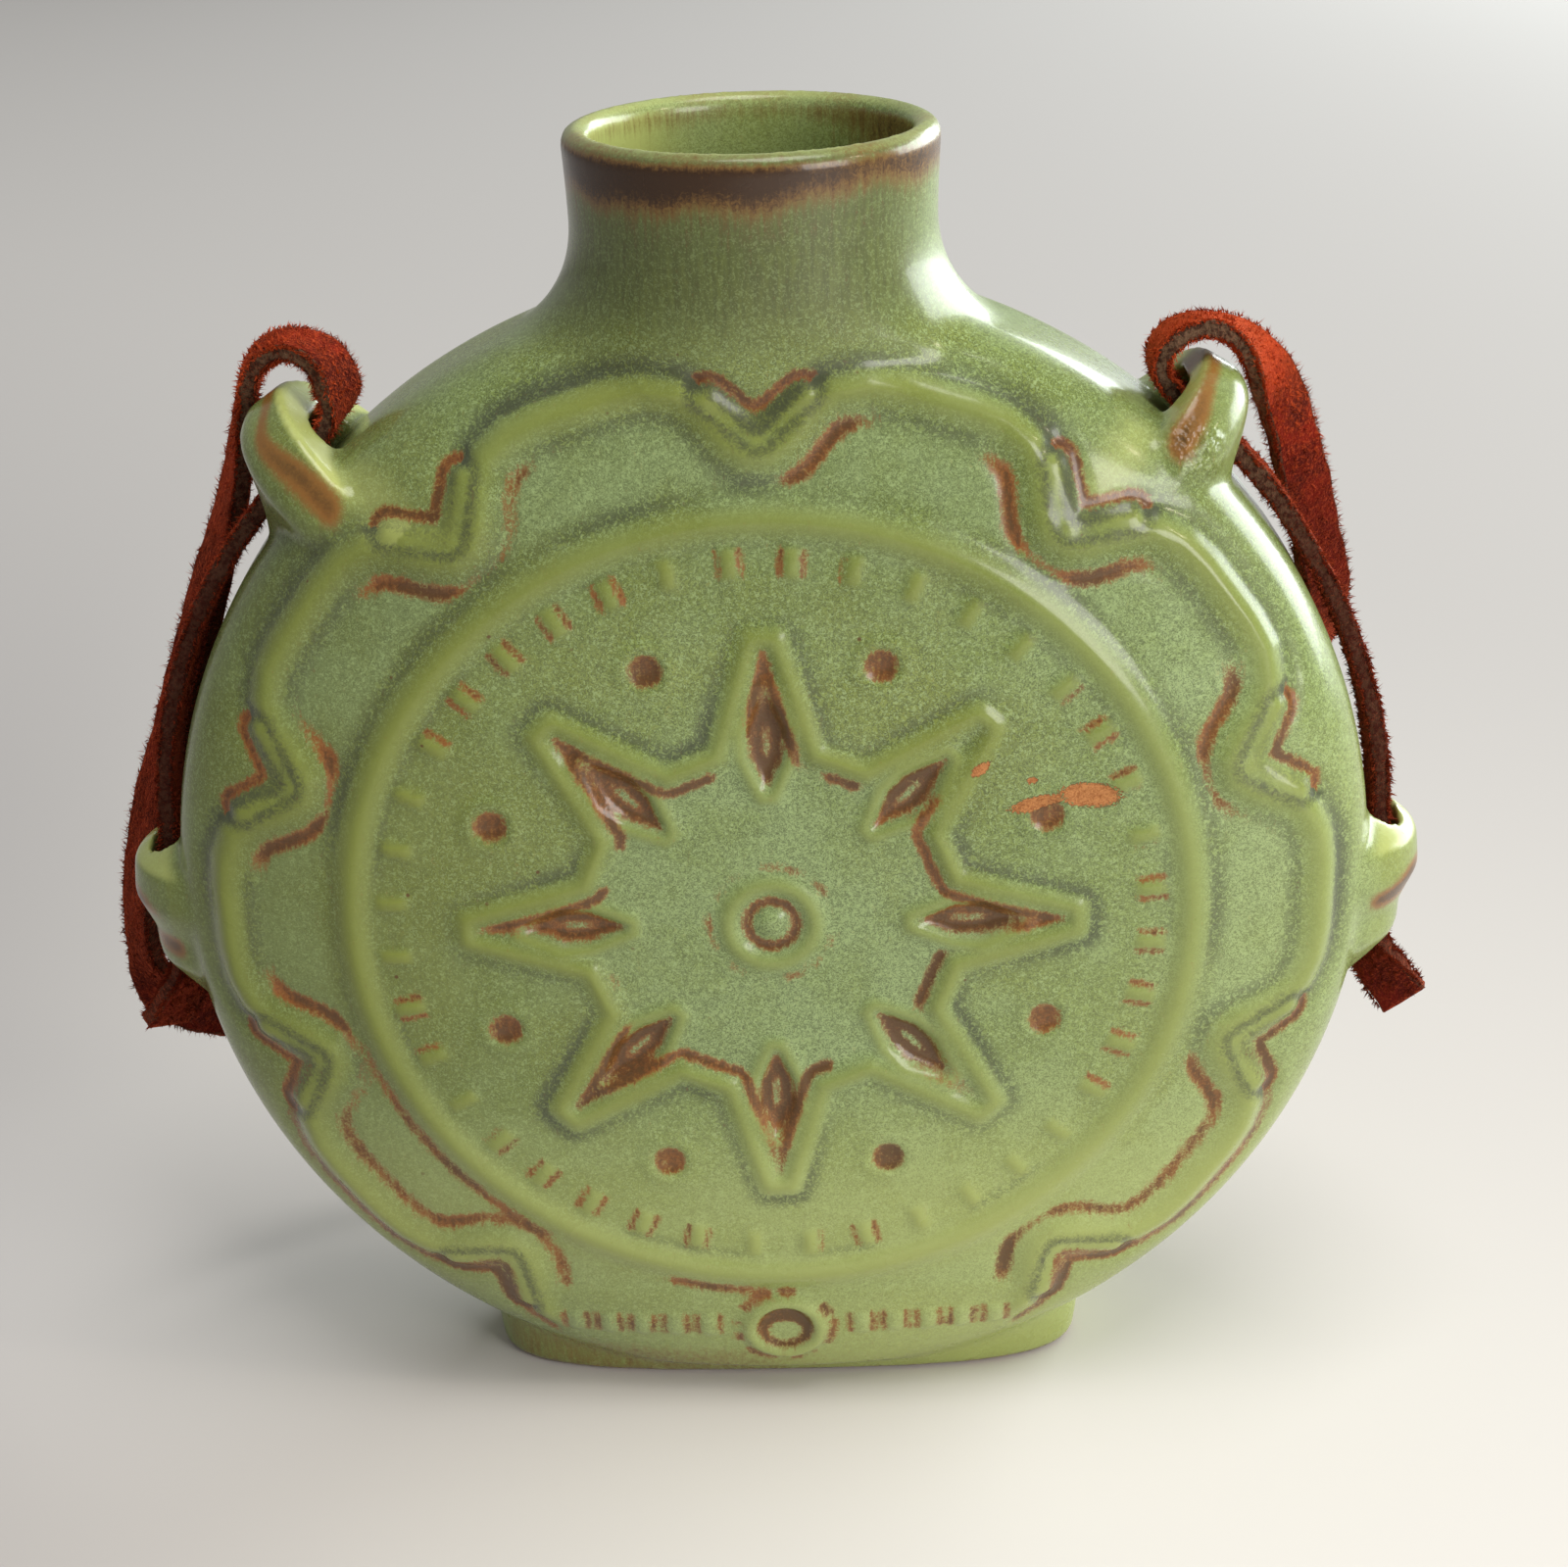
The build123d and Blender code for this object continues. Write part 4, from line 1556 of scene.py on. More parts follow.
    def blank(self) -> bpy.types.Object:
        """Joins every form into one clay skin with soft inner corners.

        Returns:
            The clay skin, still without relief.
        """
        body = self.disc(self.disc_radius, self.disc_half_depth)
        Bench.trim(body, self.foot_joint / 2)
        forms = [self.neck(), self.foot()]
        forms += [lug.build(self.centre_height, self.disc_radius) for lug in self.lugs]
        trees = [BVHTree.FromObject(form, bpy.context.evaluated_depsgraph_get()) for form in forms]
        for form in forms:
            Bench.join(body, form, Joining.ADD)
        Bench.join(body, self.hollow(), Joining.CUT)
        LOG.info("joined forms: %d faces", len(body.data.polygons))
        body.data.materials.clear()
        Bench.finish(body, "REMESH", mode="VOXEL", voxel_size=self.voxel * MM, adaptivity=0.0)
        LOG.info("clay skin: %d faces", len(body.data.polygons))
        self.thin_inside(body)
        Bench.finish(body, "SMOOTH", factor=0.5, iterations=3)
        self.soften_joints(body, trees)
        return body

    def thin_inside(self, body: bpy.types.Object) -> None:
        """Gives the hidden inner wall fewer faces.

        Args:
            body: The clay skin.
        """
        spots = Bench.points(body.data)
        low, high = self.inner_heights
        within = (self.disc_size(spots) < self.inner_size) & (spots[:, 2] < high) & (spots[:, 2] > low)
        Bench.group(body, within, "inside")
        ratio = 1 - self.inner_thinning * within.mean()
        Bench.finish(body, "DECIMATE", ratio=ratio, vertex_group="inside", vertex_group_factor=1000.0)
        body.vertex_groups.clear()
        LOG.info("inner wall thinned: %d faces", len(body.data.polygons))

    def soften_joints(self, body: bpy.types.Object, trees: Sequence[BVHTree]) -> None:
        """Rounds the inner corners where neck, foot and lugs meet the disc.

        Args:
            body: The clay skin.
            trees: The neck, the foot and the lugs as they were joined.
        """
        spots = Bench.points(body.data)
        to_disc = np.abs(self.disc_size(spots) - 1) * self.size_in_mm
        for tree, reach, rounds in zip(trees, self.joint_reaches, self.joint_rounds):
            weight = np.zeros(len(spots))
            for index in np.nonzero(to_disc < reach)[0]:
                found = tree.find_nearest(Vector(spots[index] * MM), reach * MM)
                if found[0] is not None:
                    weight[index] = 1 - max(found[3] / MM, to_disc[index]) / reach
            if tree is trees[0]:
                weight[spots[:, 2] > self.soft_top] = 0
            group = body.vertex_groups.new(name="joint")
            for level in np.linspace(0.1, 1.0, 10):
                chosen = np.nonzero(np.ceil(weight * 10) / 10 >= level - 1e-6)[0]
                group.add(chosen.tolist(), float(level), "REPLACE")
            Bench.finish(body, "SMOOTH", factor=0.5, iterations=rounds, vertex_group="joint")
            body.vertex_groups.clear()

    def press_faces(self, body: bpy.types.Object) -> None:
        """Presses the relief into both faces and keeps the glaze's tones on the points.

        Args:
            body: The clay skin.
        """
        mesh = body.data
        spots, ways = Bench.points(mesh), Bench.normals(mesh)
        size = self.disc_size(spots)
        outer = size > self.outer_size
        low, high = self.join_heights
        tones = {name: np.zeros(len(spots)) for name in TONE_NAMES}
        for side in Side:
            facing = ramp(ways[:, 1] * side.value, 0.25, 0.55) * outer
            facing *= band(spots[:, 2], 3.0, 5.5, 146.0, 150.0)
            facing[(size > self.flat_size) & (spots[:, 2] < high) & (spots[:, 2] > low)] = 0
            chosen = np.nonzero(facing > 0)[0]
            flat = np.stack([spots[chosen, 0] * -side.value, spots[chosen, 2] - self.centre_height], axis=1)
            tone = self.relief.press(flat)
            share = facing[chosen]
            spots[chosen] += ways[chosen] * (tone.pop("rise") * share)[:, None]
            for name, values in tone.items():
                tones[name][chosen] += values * share
        self.tint_neck(spots, tones)
        self.tint_inside(spots, tones)
        self.tint_sides(spots, tones)
        self.tint_lugs(spots, ways, size, tones)
        mesh.vertices.foreach_set("co", (spots * MM).ravel())
        mesh.update()
        Bench.paint(mesh, "blank_size", size)
        for name, values in tones.items():
            Bench.paint(mesh, name, values)
        Bench.group(body, outer & (size < self.flat_size) & (spots[:, 2] < high - 2), "pressed")
        Bench.finish(body, "SMOOTH", factor=0.5, iterations=6, vertex_group="pressed")
        body.vertex_groups.clear()

    def outside(self, spots: np.ndarray) -> np.ndarray:
        """1 for each spot outside the neck's wall and 0 for each in its bore."""
        return ramp(np.hypot(spots[:, 0], spots[:, 1]), *self.neck_wall_radii)

    def tint_neck(self, spots: np.ndarray, tones: Tones) -> None:
        """Adds the mottled brown band under the lip, darker to the left as painted shade, the neck's painted
        shade and painted light, and the lip's pale edge.

        Args:
            spots: Places on the skin in millimetres, one row each.
            tones: The strength of each glaze tone on the points, which is added to.
        """
        x, y, z = spots.T
        angle = np.arctan2(y, x)
        outside = self.outside(spots)
        left = ramp(-x - 0.3 * y, -10.0, 8.0)
        hang = 157.6 + 0.9 * (1 - left) - 1.3 * wander(angle, 2.2)
        brown = ramp(z - hang, 0.0, 5.5) * (1 - 0.5 * ramp(z, 162.8, 163.6)) * (1 - ramp(z, 163.6, 164.3))
        # Brown glaze under the lip; both lines grow stronger to the left, which is painted shade.
        tones["brown"] += brown * outside * (0.8 + 0.28 * left)
        tones["brown"] += 0.2 * ramp(z, 152.0, 158.0) * outside * (0.4 + 0.6 * left)
        # Painted shade on the neck's front and left side, painted light (pale) on its back and right.
        shaded = ramp(-y - 0.35 * x, -6.0, 12.0)
        tones["deep"] += 0.9 * ramp(z, 138.0, 150.0) * outside * shaded
        tones["slate"] += 0.3 * ramp(z, 148.0, 156.0) * outside * shaded
        tones["pale"] += 0.7 * ramp(z, 138.0, 150.0) * outside * (1 - shaded)
        tones["pale"] += 0.9 * ramp(z, 163.9, 164.6)
        tones["bright"] += 0.3 * ramp(z, 164.1, 164.7)
        tones["ember"] += 0.3 * ramp(z, 163.2, 164.2) * (0.4 + 0.8 * wander(angle, 3.4))

    def tint_inside(self, spots: np.ndarray, tones: Tones) -> None:
        """Adds the brown patch at the right inside the neck, and painted light up the bore's wall, strongest
        at its left.

        Args:
            spots: Places on the skin in millimetres, one row each.
            tones: The strength of each glaze tone on the points, which is added to.
        """
        x, y, z = spots.T
        angle = np.arctan2(y, x)
        within = (1 - self.outside(spots)) * ramp(z, 140.0, 158.0)
        low = 1 - ramp(z, 163.2, 164.3)
        patch = bead(angle - 0.5, 0.95) + 0.2 * bead(angle - 2.2, 0.5)
        tones["brown"] += within * 0.66 * patch * ramp(z, 152.0, 162.5) * low
        tones["brown"] += within * 0.3 * ramp(z, 160.5, 162.8) * low * (1 - patch)
        # Painted light: the bore's wall made paler and brighter, most of all at its left under the lip.
        tones["pale"] += 0.9 * within * (1 - patch)
        painted_bore_light = ramp(-x - 0.2 * y, 2.0, 15.0)
        tones["bright"] += within * (0.3 * (1 - patch) + 0.9 * painted_bore_light * ramp(z, 148.0, 158.0) * low)

    def tint_sides(self, spots: np.ndarray, tones: Tones) -> None:
        """Adds painted light and shade over the front, the foot's tones and the chips.

        Args:
            spots: Places on the skin in millimetres, one row each.
            tones: The strength of each glaze tone on the points, which is added to.
        """
        x, y, z = spots.T
        v = z - self.centre_height
        front = ramp(-y, 0.0, 8.0)
        # Painted shade at the top and to the left of the front; painted light low on the front and to the
        # lower right.
        tones["deep"] += 0.25 * band(z, 104.0, 120.0, 134.0, 142.0) * front
        tones["deep"] += 0.55 * ramp(-x - 0.2 * v, 0.0, 60.0) * front * (1 - ramp(z, 118.0, 132.0))
        tones["bright"] += 0.34 * bead(z - 29.0, 26.0) * front
        tones["bright"] += 0.16 * ramp(x - v, 10.0, 80.0) * front
        # Painted light: low down, paler towards the right.
        tones["bright"] += 0.3 * (1 - ramp(z, 9.0, 20.0)) * ramp(x, -45.0, 25.0)
        foot_left = (1 - ramp(z, 5.0, 10.5)) * ramp(-y, 2.0, 10.0) * ramp(-x, -22.0, 12.0)
        tones["brown"] += 0.38 * foot_left
        tones["olive"] += 0.5 * (1 - ramp(z, 5.0, 9.0))
        tones["rust"] += 0.9 * (1 - ramp(z, 0.2, 1.2))
        for chip in self.chips:
            tones["chip"] = np.maximum(tones["chip"], chip.strength(x, v) * (y < -15))

    def tint_lugs(self, spots: np.ndarray, ways: np.ndarray, size: np.ndarray, tones: Tones) -> None:
        """Adds painted light on the lugs' mouths, a painted highlight beside the upper lugs' legs, and the
        brown breaks beside them.

        Args:
            spots: The skin's points.
            ways: Their normals.
            size: The disc's size at each point before the relief was pressed.
            tones: The glaze's tones, which this adds to.
        """
        to_crawl = np.linalg.norm(spots - np.array(self.crawl_spot), axis=1)
        wrinkled = ramp(self.crawl_radius - to_crawl, 0.0, 3.0)
        for lug in self.lugs:
            off = spots - lug.seat(self.centre_height)
            reach, out, deep = off @ lug.along(), off @ lug.out(), np.abs(off[:, 1])
            near = lug.holds(spots, size, self.centre_height) * ramp(size, 1.005, 1.03)
            past_rim = reach - lug.rim(deep)
            tones["olive"] += 0.35 * near
            if lug.is_upper():
                leg = ramp(deep, 6.0, 14.0)
                wide = 0.7 + 1.5 * leg
                edge = bead(past_rim + 0.55 * wide, 1.1 + wide) * near
                tones["ember"] += edge * (0.75 + 0.35 * leg)
                crease = bead(past_rim + wide, 0.6 + wide) * leg * near
                tones["brown"] += (0.08 + 0.4 * ramp(deep, 11.0, 15.0)) * crease
                # Painted highlight on the disc beside an upper lug's leg, just past its mouth.
                beside = ramp(deep, 9.0, 13.0) * bead(past_rim - 3.0, 5.0) * (np.abs(size - 1) < 0.05)
                tones["bright"] += 0.4 * beside * (out > -2)
                tones["crawl"] += wrinkled * near
            else:
                crest = bead(past_rim + 1.0, 2.6) * bead(deep - 6.0, 5.5) * near
                low = bead(reach - lug.break_height, 2.6) * bead(deep - 9.0, 8.0) * near
                tones["ember"] += 1.3 * crest + 1.2 * low
                tones["brown"] += 0.6 * crest + 0.6 * low
            # Painted light on the faces at the mouth that look along the rim, which face upwards.
            facing = ramp(ways @ lug.along(), 0.3, 0.65)
            painted_mouth_light = 0.8 if lug.is_upper() else 0.55
            tones["bright"] += painted_mouth_light * facing * ramp(past_rim, -0.6, 1.2) * near

    def piece_names(self) -> list[str]:
        """The pieces that the skin is parted into."""
        return ["front_half", "back_half", "neck", "clay_foot"] + [lug.name for lug in self.lugs]

    def piece_numbers(self, mesh: bpy.types.Mesh) -> np.ndarray:
        """The number of the piece that each face belongs to, from its middle and blank size.

        Args:
            mesh: The clay skin's mesh.

        Returns:
            One number for each face.
        """
        centres = Bench.read(mesh.polygons, "center", 3) / MM
        sizes = Bench.read(mesh.attributes["blank_size"].data, "value", kind=np.float32)
        corners = Bench.read(mesh.loops, "vertex_index", kind=np.int32)
        starts = Bench.read(mesh.polygons, "loop_start", kind=np.int32)
        size = np.add.reduceat(sizes[corners], starts) / np.diff(np.append(starts, len(corners)))
        kind = np.where(centres[:, 1] < 0, 0, 1)
        kind[centres[:, 2] > self.neck_joint] = 2
        kind[centres[:, 2] < self.foot_joint] = 3
        for number, lug in enumerate(self.lugs):
            kind[lug.holds(centres, size, self.centre_height)] = 4 + number
        return kind

    def part(self, body: bpy.types.Object) -> dict[str, bpy.types.Object]:
        """Parts the skin into the pieces that the potter joins.

        Args:
            body: The whole skin.

        Returns:
            Each piece by name. Neighbours share their edge points and normals.
        """
        mesh = body.data
        store = mesh.attributes.new("skin_way", "FLOAT_VECTOR", "POINT")
        store.data.foreach_set("vector", Bench.normals(mesh).astype(np.float32).ravel())
        kind = self.piece_numbers(mesh)
        mesh.materials.clear()
        for name in self.piece_names():
            mesh.materials.append(bpy.data.materials.new("part_" + name))
        mesh.polygons.foreach_set("material_index", kind.astype(np.int32))
        with Bench.editing(body):
            bpy.ops.mesh.separate(type="MATERIAL")
        pieces = {}
        for piece in list(bpy.context.selected_objects):
            worn = [slot.material.name for slot in piece.material_slots if slot.material]
            if len(worn) > 1:
                worn = [worn[piece.data.polygons[0].material_index]]
            name = worn[0].removeprefix("part_")
            piece.name = piece.data.name = name
            pieces[name] = piece
        for old in list(bpy.data.materials):
            if old.name.startswith("part_"):
                bpy.data.materials.remove(old)
        return pieces

    @staticmethod
    def dress(piece: bpy.types.Object, glaze: bpy.types.Material) -> None:
        """Gives a piece its glaze and the normals it had in the whole skin.

        Args:
            piece: The piece to dress.
            glaze: The glaze.
        """
        mesh = piece.data
        mesh.materials.clear()
        mesh.materials.append(glaze)
        mesh.polygons.foreach_set("material_index", np.zeros(len(mesh.polygons), dtype=np.int32))
        mesh.polygons.foreach_set("use_smooth", np.ones(len(mesh.polygons), dtype=bool))
        ways = Bench.read(mesh.attributes["skin_way"].data, "vector", 3, np.float32)
        mesh.normals_split_custom_set_from_vertices(ways)
        mesh.attributes.remove(mesh.attributes["skin_way"])
        mesh.attributes.remove(mesh.attributes["blank_size"])

    def build(self, glaze: bpy.types.Material) -> None:
        """Builds, presses, parts and dresses the clay.

        Args:
            glaze: The glaze that every piece wears.
        """
        body = self.blank()
        self.press_faces(body)
        lines = ("border", "ring_line", "star", "ticks", "base_marks")
        stands_for = {
            "front_half": ["front_shell"] + ["front_" + line for line in lines],
            "back_half": ["back_shell"] + ["back_" + line for line in lines],
            "neck": ["neck_collar"],
            "clay_foot": ["foot"],
        }
        for name, piece in sorted(self.part(body).items()):
            self.dress(piece, glaze)
            if name.startswith("lug"):
                piece.name = name + "_clay"
            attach(piece, "root")
            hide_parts(*stands_for.get(name, [name]))
            LOG.info("%s: %d faces", piece.name, len(piece.data.polygons))


@dataclass(frozen=True)
class LaceLine:
    """The lace's line: its points in metres, and the ways ahead, across and out at each."""

    points: np.ndarray
    ahead: np.ndarray
    across: np.ndarray
    out: np.ndarray


class Cloth:
    """The points and faces of the lace, and the numbers kept on its points."""

    def __init__(self) -> None:
        """Starts with nothing."""
        self.spots: list[Point] = []
        self.faces: list[tuple[int, ...]] = []
        self.raw: list[float] = []
        self.fuzz: list[float] = []

    def mesh(self, name: str) -> bpy.types.Mesh:
        """Makes the mesh and keeps its numbers on it.

        Args:
            name: The mesh's name.

        Returns:
            The mesh.
        """
        mesh = bpy.data.meshes.new(name)
        mesh.from_pydata(self.spots, [], self.faces)
        mesh.polygons.foreach_set("use_smooth", np.ones(len(self.faces), dtype=bool))
        Bench.paint(mesh, "raw_edge", np.array(self.raw))
        Bench.paint(mesh, "fuzz", np.array(self.fuzz))
        mesh.attributes["raw_edge"].data[0].value = 1.0
        return mesh


@dataclass
class SuedeLace:
    """The flat suede lace, from its left cut end round the back to its right cut end.

    Its route is a list of places, in metres, each with the way of the lace's width there.
    """

    width: float = 6.5
    thickness: float = 2.3
    length: float = 0.551
    edge_rounding: float = 0.45
    raw_depth: float = 0.35
    fibres: int = 38000
    edge_fibres: float = 0.72
    raw_fibres: float = 0.12
    tallest_fibre: float = 1.15
    unevenness: float = 0.08
    line_order: int = 3
    line_steps: int = 14
    search_reach: int = 60
    seed: int = 11
    route: tuple[tuple[Point, Point], ...] = (
        ((-0.0818, 0.0010, 0.0488), (-0.75, -0.65, 0.0)),
        ((-0.0792, 0.0004, 0.0528), (-0.70, -0.70, 0.0)),
        ((-0.0769, 0.0, 0.0574), (-0.45, -0.9, 0.0)),
        ((-0.0772, 0.0, 0.0644), (0.0, -1.0, 0.0)),
        ((-0.0772, 0.0, 0.0770), (0.0, -1.0, 0.0)),
        ((-0.0764, 0.0, 0.0884), (0.0, -1.0, 0.0)),
        ((-0.0730, 0.0, 0.1005), (0.0, -1.0, 0.0)),
        ((-0.0684, 0.0, 0.1104), (0.0, -1.0, 0.0)),
        ((-0.0622, 0.0, 0.1192), (0.0, -1.0, 0.0)),
        ((-0.0520, 0.0, 0.1298), (0.0, -1.0, 0.0)),
        ((-0.0500, 0.0002, 0.1342), (-0.45, -0.9, 0.0)),
        ((-0.0516, 0.0008, 0.1386), (-0.4, -0.9, -0.1)),
        ((-0.0562, 0.0022, 0.1400), (-0.05, -1.0, -0.1)),
        ((-0.0612, 0.0048, 0.1372), (0.1, -1.0, -0.1)),
        ((-0.0636, 0.0076, 0.1298), (0.25, -0.95, 0.0)),
        ((-0.0660, 0.0086, 0.1196), (0.45, -0.9, 0.0)),
        ((-0.0702, 0.0088, 0.1086), (0.62, -0.8, 0.0)),
        ((-0.0742, 0.0096, 0.0976), (0.72, -0.7, 0.0)),
        ((-0.0782, 0.0100, 0.0866), (0.7, -0.7, 0.0)),
        ((-0.0826, 0.0102, 0.0754), (0.7, -0.7, 0.0)),
        ((-0.0856, 0.0104, 0.0638), (0.65, -0.75, 0.1)),
        ((-0.0866, 0.0114, 0.0532), (0.5, -0.6, 0.4)),
        ((-0.0846, 0.0144, 0.0438), (0.25, 0.0, 0.95)),
        ((-0.0766, 0.0204, 0.0386), (0.0, 0.35, 0.9)),
        ((-0.0642, 0.0264, 0.0368), (0.0, 0.35, 0.9)),
        ((-0.0484, 0.0302, 0.0356), (0.0, 0.2, 1.0)),
        ((-0.0294, 0.0316, 0.0364), (0.0, 0.1, 1.0)),
        ((-0.0086, 0.0320, 0.0392), (0.0, 0.0, 1.0)),
        ((0.0134, 0.0320, 0.0454), (0.0, 0.0, 1.0)),
        ((0.0336, 0.0314, 0.0552), (0.0, 0.0, 1.0)),
        ((0.0506, 0.0296, 0.0676), (0.1, 0.1, 1.0)),
        ((0.0642, 0.0252, 0.0796), (0.4, 0.2, 0.9)),
        ((0.0714, 0.0184, 0.0902), (0.7, 0.4, 0.6)),
        ((0.0720, 0.0128, 0.1008), (0.9, 0.5, 0.2)),
        ((0.0690, 0.0096, 0.1110), (0.9, 0.45, 0.1)),
        ((0.0662, 0.0070, 0.1208), (0.9, 0.45, 0.1)),
        ((0.0632, 0.0044, 0.1300), (0.8, 0.6, 0.1)),
        ((0.0590, 0.0022, 0.1370), (0.4, 0.9, 0.0)),
        ((0.0536, 0.0008, 0.1400), (0.0, 1.0, -0.1)),
        ((0.0490, 0.0002, 0.1390), (-0.05, 1.0, 0.0)),
        ((0.0470, 0.0, 0.1352), (0.0, 1.0, 0.0)),
        ((0.0496, 0.0, 0.1318), (0.0, 1.0, 0.0)),
        ((0.0592, 0.0, 0.1230), (0.0, 1.0, 0.0)),
        ((0.0650, 0.0, 0.1148), (0.0, 1.0, 0.0)),
        ((0.0702, 0.0, 0.1056), (0.0, 1.0, 0.0)),
        ((0.0742, 0.0, 0.0954), (0.0, 1.0, 0.0)),
        ((0.0766, 0.0, 0.0852), (0.0, 1.0, 0.0)),
        ((0.0772, 0.0, 0.0770), (0.0, 1.0, 0.0)),
        ((0.0772, 0.0, 0.0644), (0.0, 1.0, 0.0)),
        ((0.0769, 0.0, 0.0576), (-0.5, 0.85, -0.2)),
        ((0.0792, -0.0004, 0.0532), (-0.7, 0.4, -0.6)),
        ((0.0822, -0.0010, 0.0494), (-0.7, 0.1, -0.7)),
    )

    def drawn(self) -> np.ndarray:
        """The points of the smooth line that the route steers.

        Returns:
            The points in metres, one row each.
        """
        curve = bpy.data.curves.new("lace_line", "CURVE")
        curve.dimensions = "3D"
        spline = curve.splines.new("NURBS")
        spline.points.add(len(self.route) - 1)
        for knot, (place, _) in zip(spline.points, self.route):
            knot.co = (*place, 1.0)
        spline.order_u = self.line_order
        spline.use_endpoint_u = True
        spline.resolution_u = self.line_steps
        holder = Bench.placed("lace_line", curve)
        bpy.context.view_layer.update()
        mesh = bpy.data.meshes.new_from_object(holder)
        points = np.array([vertex.co[:] for vertex in mesh.vertices])
        bpy.data.objects.remove(holder)
        bpy.data.meshes.remove(mesh)
        return points

    def line(self) -> LaceLine:
        """Works out the lace's line and how the lace lies at each of its points.

        Returns:
            The line.
        """
        points = self.drawn()
        knots = []
        last = 0
        for place, _ in self.route:
            gaps = np.linalg.norm(points[last:] - np.array(place), axis=1)
            last += int(np.argmin(gaps[: self.search_reach]))
            knots.append(last)
        hints = np.array([way for _, way in self.route])
        ways = [np.interp(np.arange(len(points)), knots, hints[:, axis]) for axis in range(3)]
        wide = np.stack(ways, axis=1)
        ahead = unit(np.gradient(points, axis=0))
        across = unit(wide - (wide * ahead).sum(1)[:, None] * ahead)
        return LaceLine(points, ahead, across, np.cross(ahead, across))

    def section(self) -> list[Point]:
        """The lace's cross-section: across, out and whether it is a raw edge.

        Returns:
            The corners in order, with 1 at a raw edge and 0 elsewhere.
        """
        half, thick, soft = self.width / 2, self.thickness / 2, self.edge_rounding
        spots = []
        for sign_x, sign_y, start in ((1, 1, 0), (-1, 1, 90), (-1, -1, 180), (1, -1, 270)):
            for turn in (0, 30, 60, 90):
                way = math.radians(start + turn)
                x = sign_x * (half - soft) + soft * math.cos(way)
                y = sign_y * (thick - soft) + soft * math.sin(way)
                spots.append((x, y, 1.0 if abs(x) > half - self.raw_depth else 0.0))
            if sign_x * sign_y > 0:
                spots += [(sign_x * half * share, sign_y * thick, 0.0) for share in (0.5, 0.15, -0.2, -0.55)]
            else:
                spots += [(sign_x * (half + 0.05), sign_y * thick * share, 1.0) for share in (0.35, -0.35)]
        return spots

    def strip(self, line: LaceLine, chance: np.random.Generator) -> Cloth:
        """Draws the cross-section along the line, a little uneven, with closed ends.

        Args:
            line: The lace's line.
            chance: The source of its unevenness.

        Returns:
            The cloth, still without fibres.
        """
        cloth = Cloth()
        shape = np.array(self.section())
        rings, sides = len(line.points), len(shape)
        steps = np.linalg.norm(np.diff(line.points, axis=0), axis=1)
        travel = np.concatenate([[0], np.cumsum(steps)])
        waver = 1 + 0.035 * np.sin(travel * 410) + 0.03 * np.sin(travel * 1130 + 1)
        rough = chance.normal(0, self.unevenness, (rings, sides, 1))
        body = line.points[:, None] + MM * (
            line.across[:, None] * (shape[None, :, :1] * waver[:, None, None] + rough)
            + line.out[:, None] * (shape[None, :, 1:2] + rough * 0.7)
        )
        cloth.spots = [tuple(spot) for spot in body.reshape(-1, 3)]
        cloth.raw = list(np.tile(shape[:, 2], rings))
        cloth.fuzz = [0.0] * len(cloth.raw)
        for low in range(0, (rings - 1) * sides, sides):
            for side in range(sides):
                after = (side + 1) % sides
                cloth.faces.append((low + side, low + after, low + sides + after, low + sides + side))
        cloth.faces.append(tuple(reversed(range(sides))))
        cloth.faces.append(tuple(range((rings - 1) * sides, rings * sides)))
        LOG.info("suede_lace: %.1f mm along its line", travel[-1] / MM)
        return cloth

    def add_fibre(self, line: LaceLine, cloth: Cloth, chance: np.random.Generator) -> None:
        """Adds one loose fibre, more often at a cut edge than on a face.

        Args:
            line: The lace's line.
            cloth: The cloth to add it to.
            chance: The source of its place and lean.
        """
        share = chance.random() * (len(line.points) - 2)
        ring = int(share)
        at_edge = chance.random() < self.edge_fibres
        half, thick = self.width / 2, self.thickness / 2
        if at_edge:
            wide = chance.choice((-1, 1)) * half * 0.97
            deep = chance.choice((-1, 1)) * thick * chance.uniform(0.5, 1.0)
        else:
            wide = chance.uniform(-1, 1) * half
            deep = chance.choice((-1, 1)) * thick
        ahead, across, out = line.ahead[ring], line.across[ring], line.out[ring]
        spot = line.points[ring] + (line.points[ring + 1] - line.points[ring]) * (share - ring)
        root = spot + MM * 0.98 * (across * wide + out * deep)
        lean_across, lean_out = (1.0, 0.5) if at_edge else (0.2, 1.0)
        way = across * np.sign(wide) * lean_across + out * np.sign(deep) * lean_out
        way = way + ahead * chance.normal(0, 0.7) + chance.normal(0, 0.25, 3)
        way /= np.linalg.norm(way)
        tall = MM * min(self.tallest_fibre, chance.gamma(4.0, 0.16))
        side = np.cross(way, ahead + 0.3 * out)
        side *= MM * chance.uniform(0.09, 0.22) / max(np.linalg.norm(side), 1e-6)
        first = len(cloth.spots)
        cloth.spots += [tuple(root - side), tuple(root + side), tuple(root + way * tall)]
        cloth.fuzz += [chance.uniform(0.0, 1.0)] * 3
        cloth.raw += [0.35 if chance.random() < self.raw_fibres else 0.0] * 3
        cloth.faces.append((first, first + 1, first + 2))

    def build(self, suede: bpy.types.Material) -> None:
        """Args:
            suede: The suede that the lace wears.
        """
        line = self.line()
        chance = np.random.default_rng(self.seed)
        cloth = self.strip(line, chance)
        for _ in range(self.fibres):
            self.add_fibre(line, cloth, chance)
        lace = Bench.placed("suede_lace", cloth.mesh("suede_lace"))
        lace.data.materials.append(suede)
        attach(lace, "root")
        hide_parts("lace_left_tail", "lace_left_run", "lace_loop", "lace_right_run", "lace_right_tail")


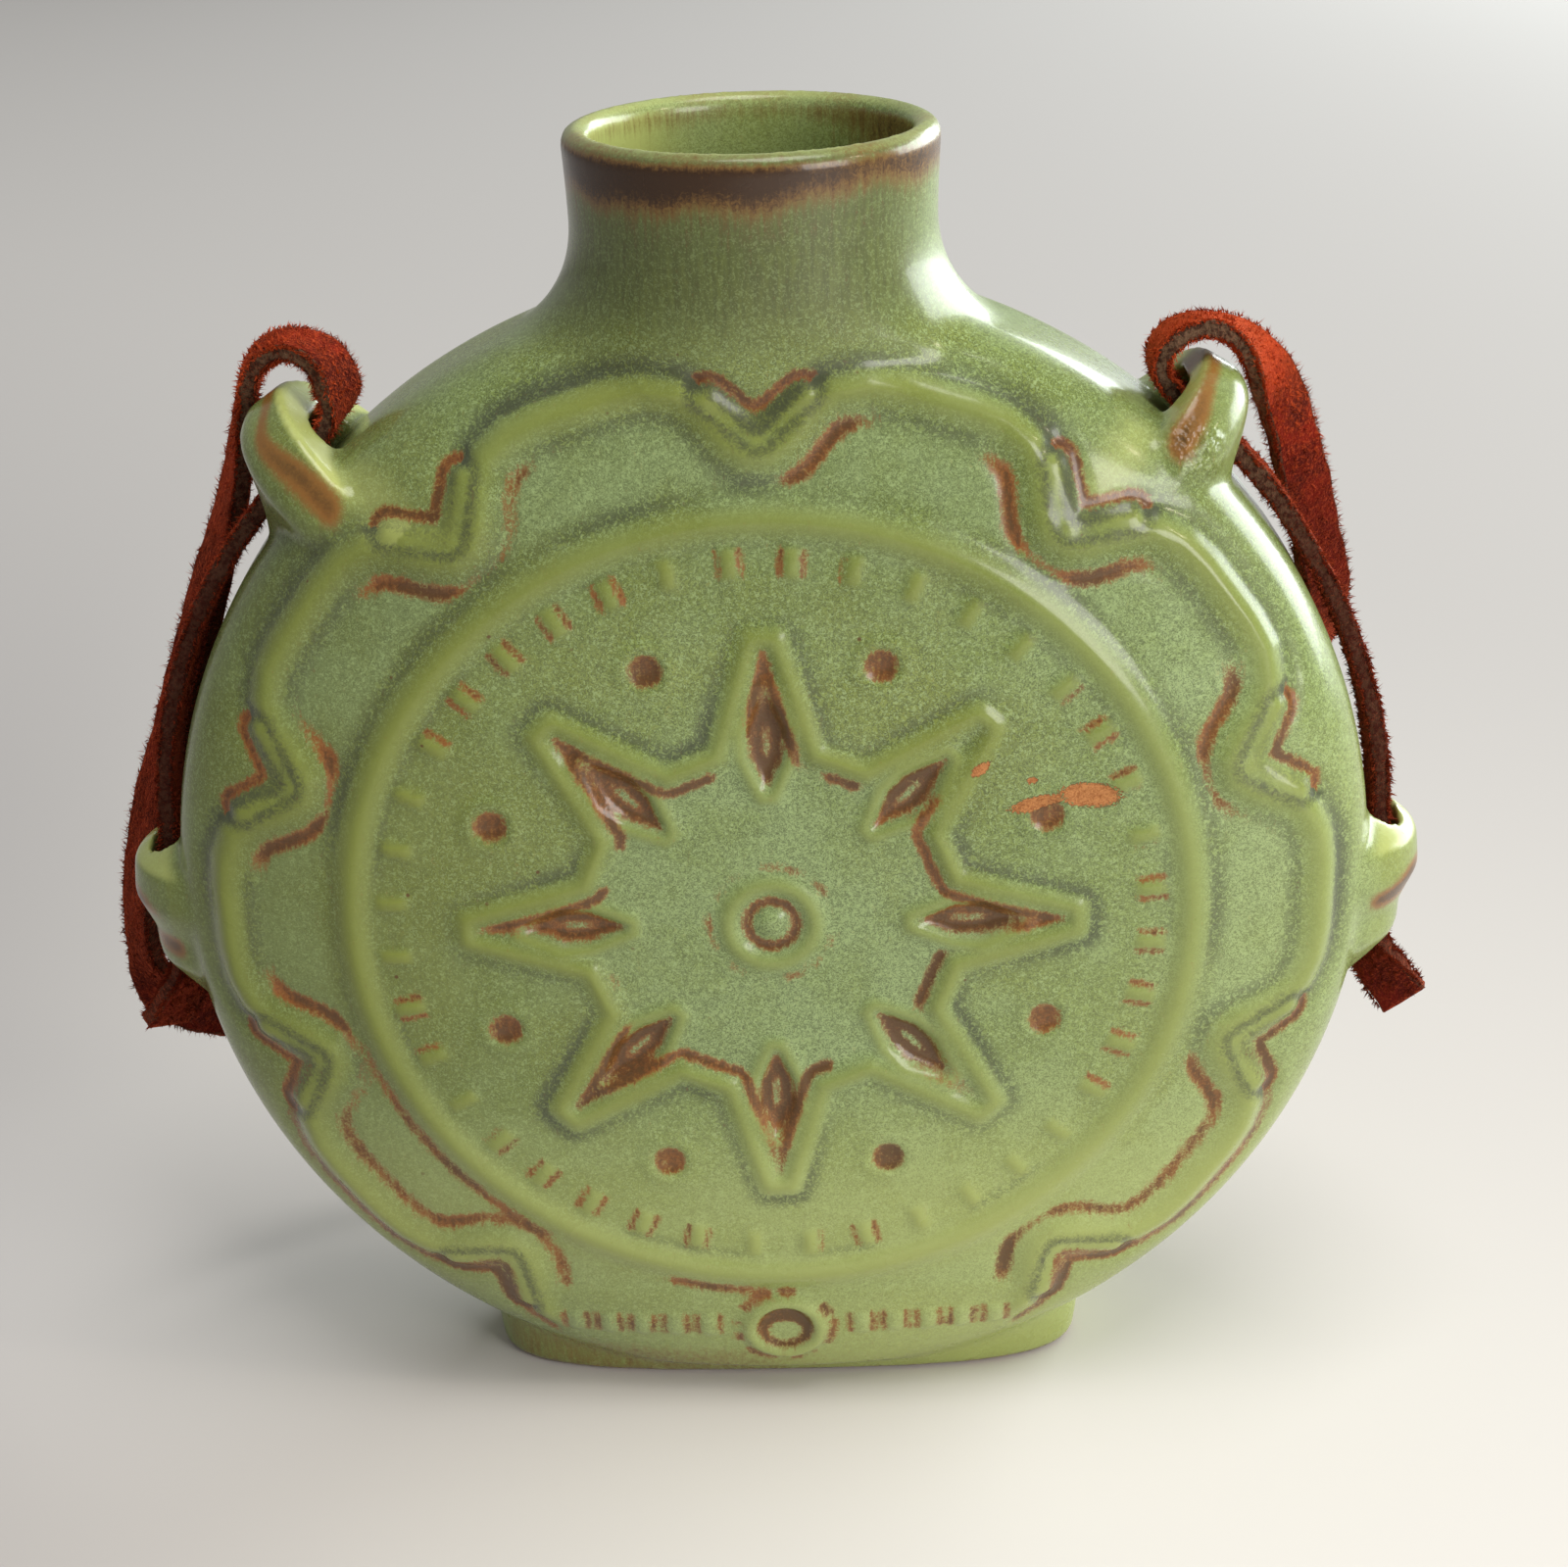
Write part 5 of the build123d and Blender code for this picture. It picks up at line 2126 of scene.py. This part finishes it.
def main() -> None:
    """Builds the scene in order and reports each piece."""
    logging.basicConfig(level=logging.INFO, format="%(message)s")
    PhotoCamera().build()
    LOG.info("camera placed")
    SuedeLace().build(NappedSuede().material())
    Studio().build()
    LOG.info("floor and lamps placed")
    ClayBody().build(SatinGlaze().material())


if __name__ == "__main__":
    main()
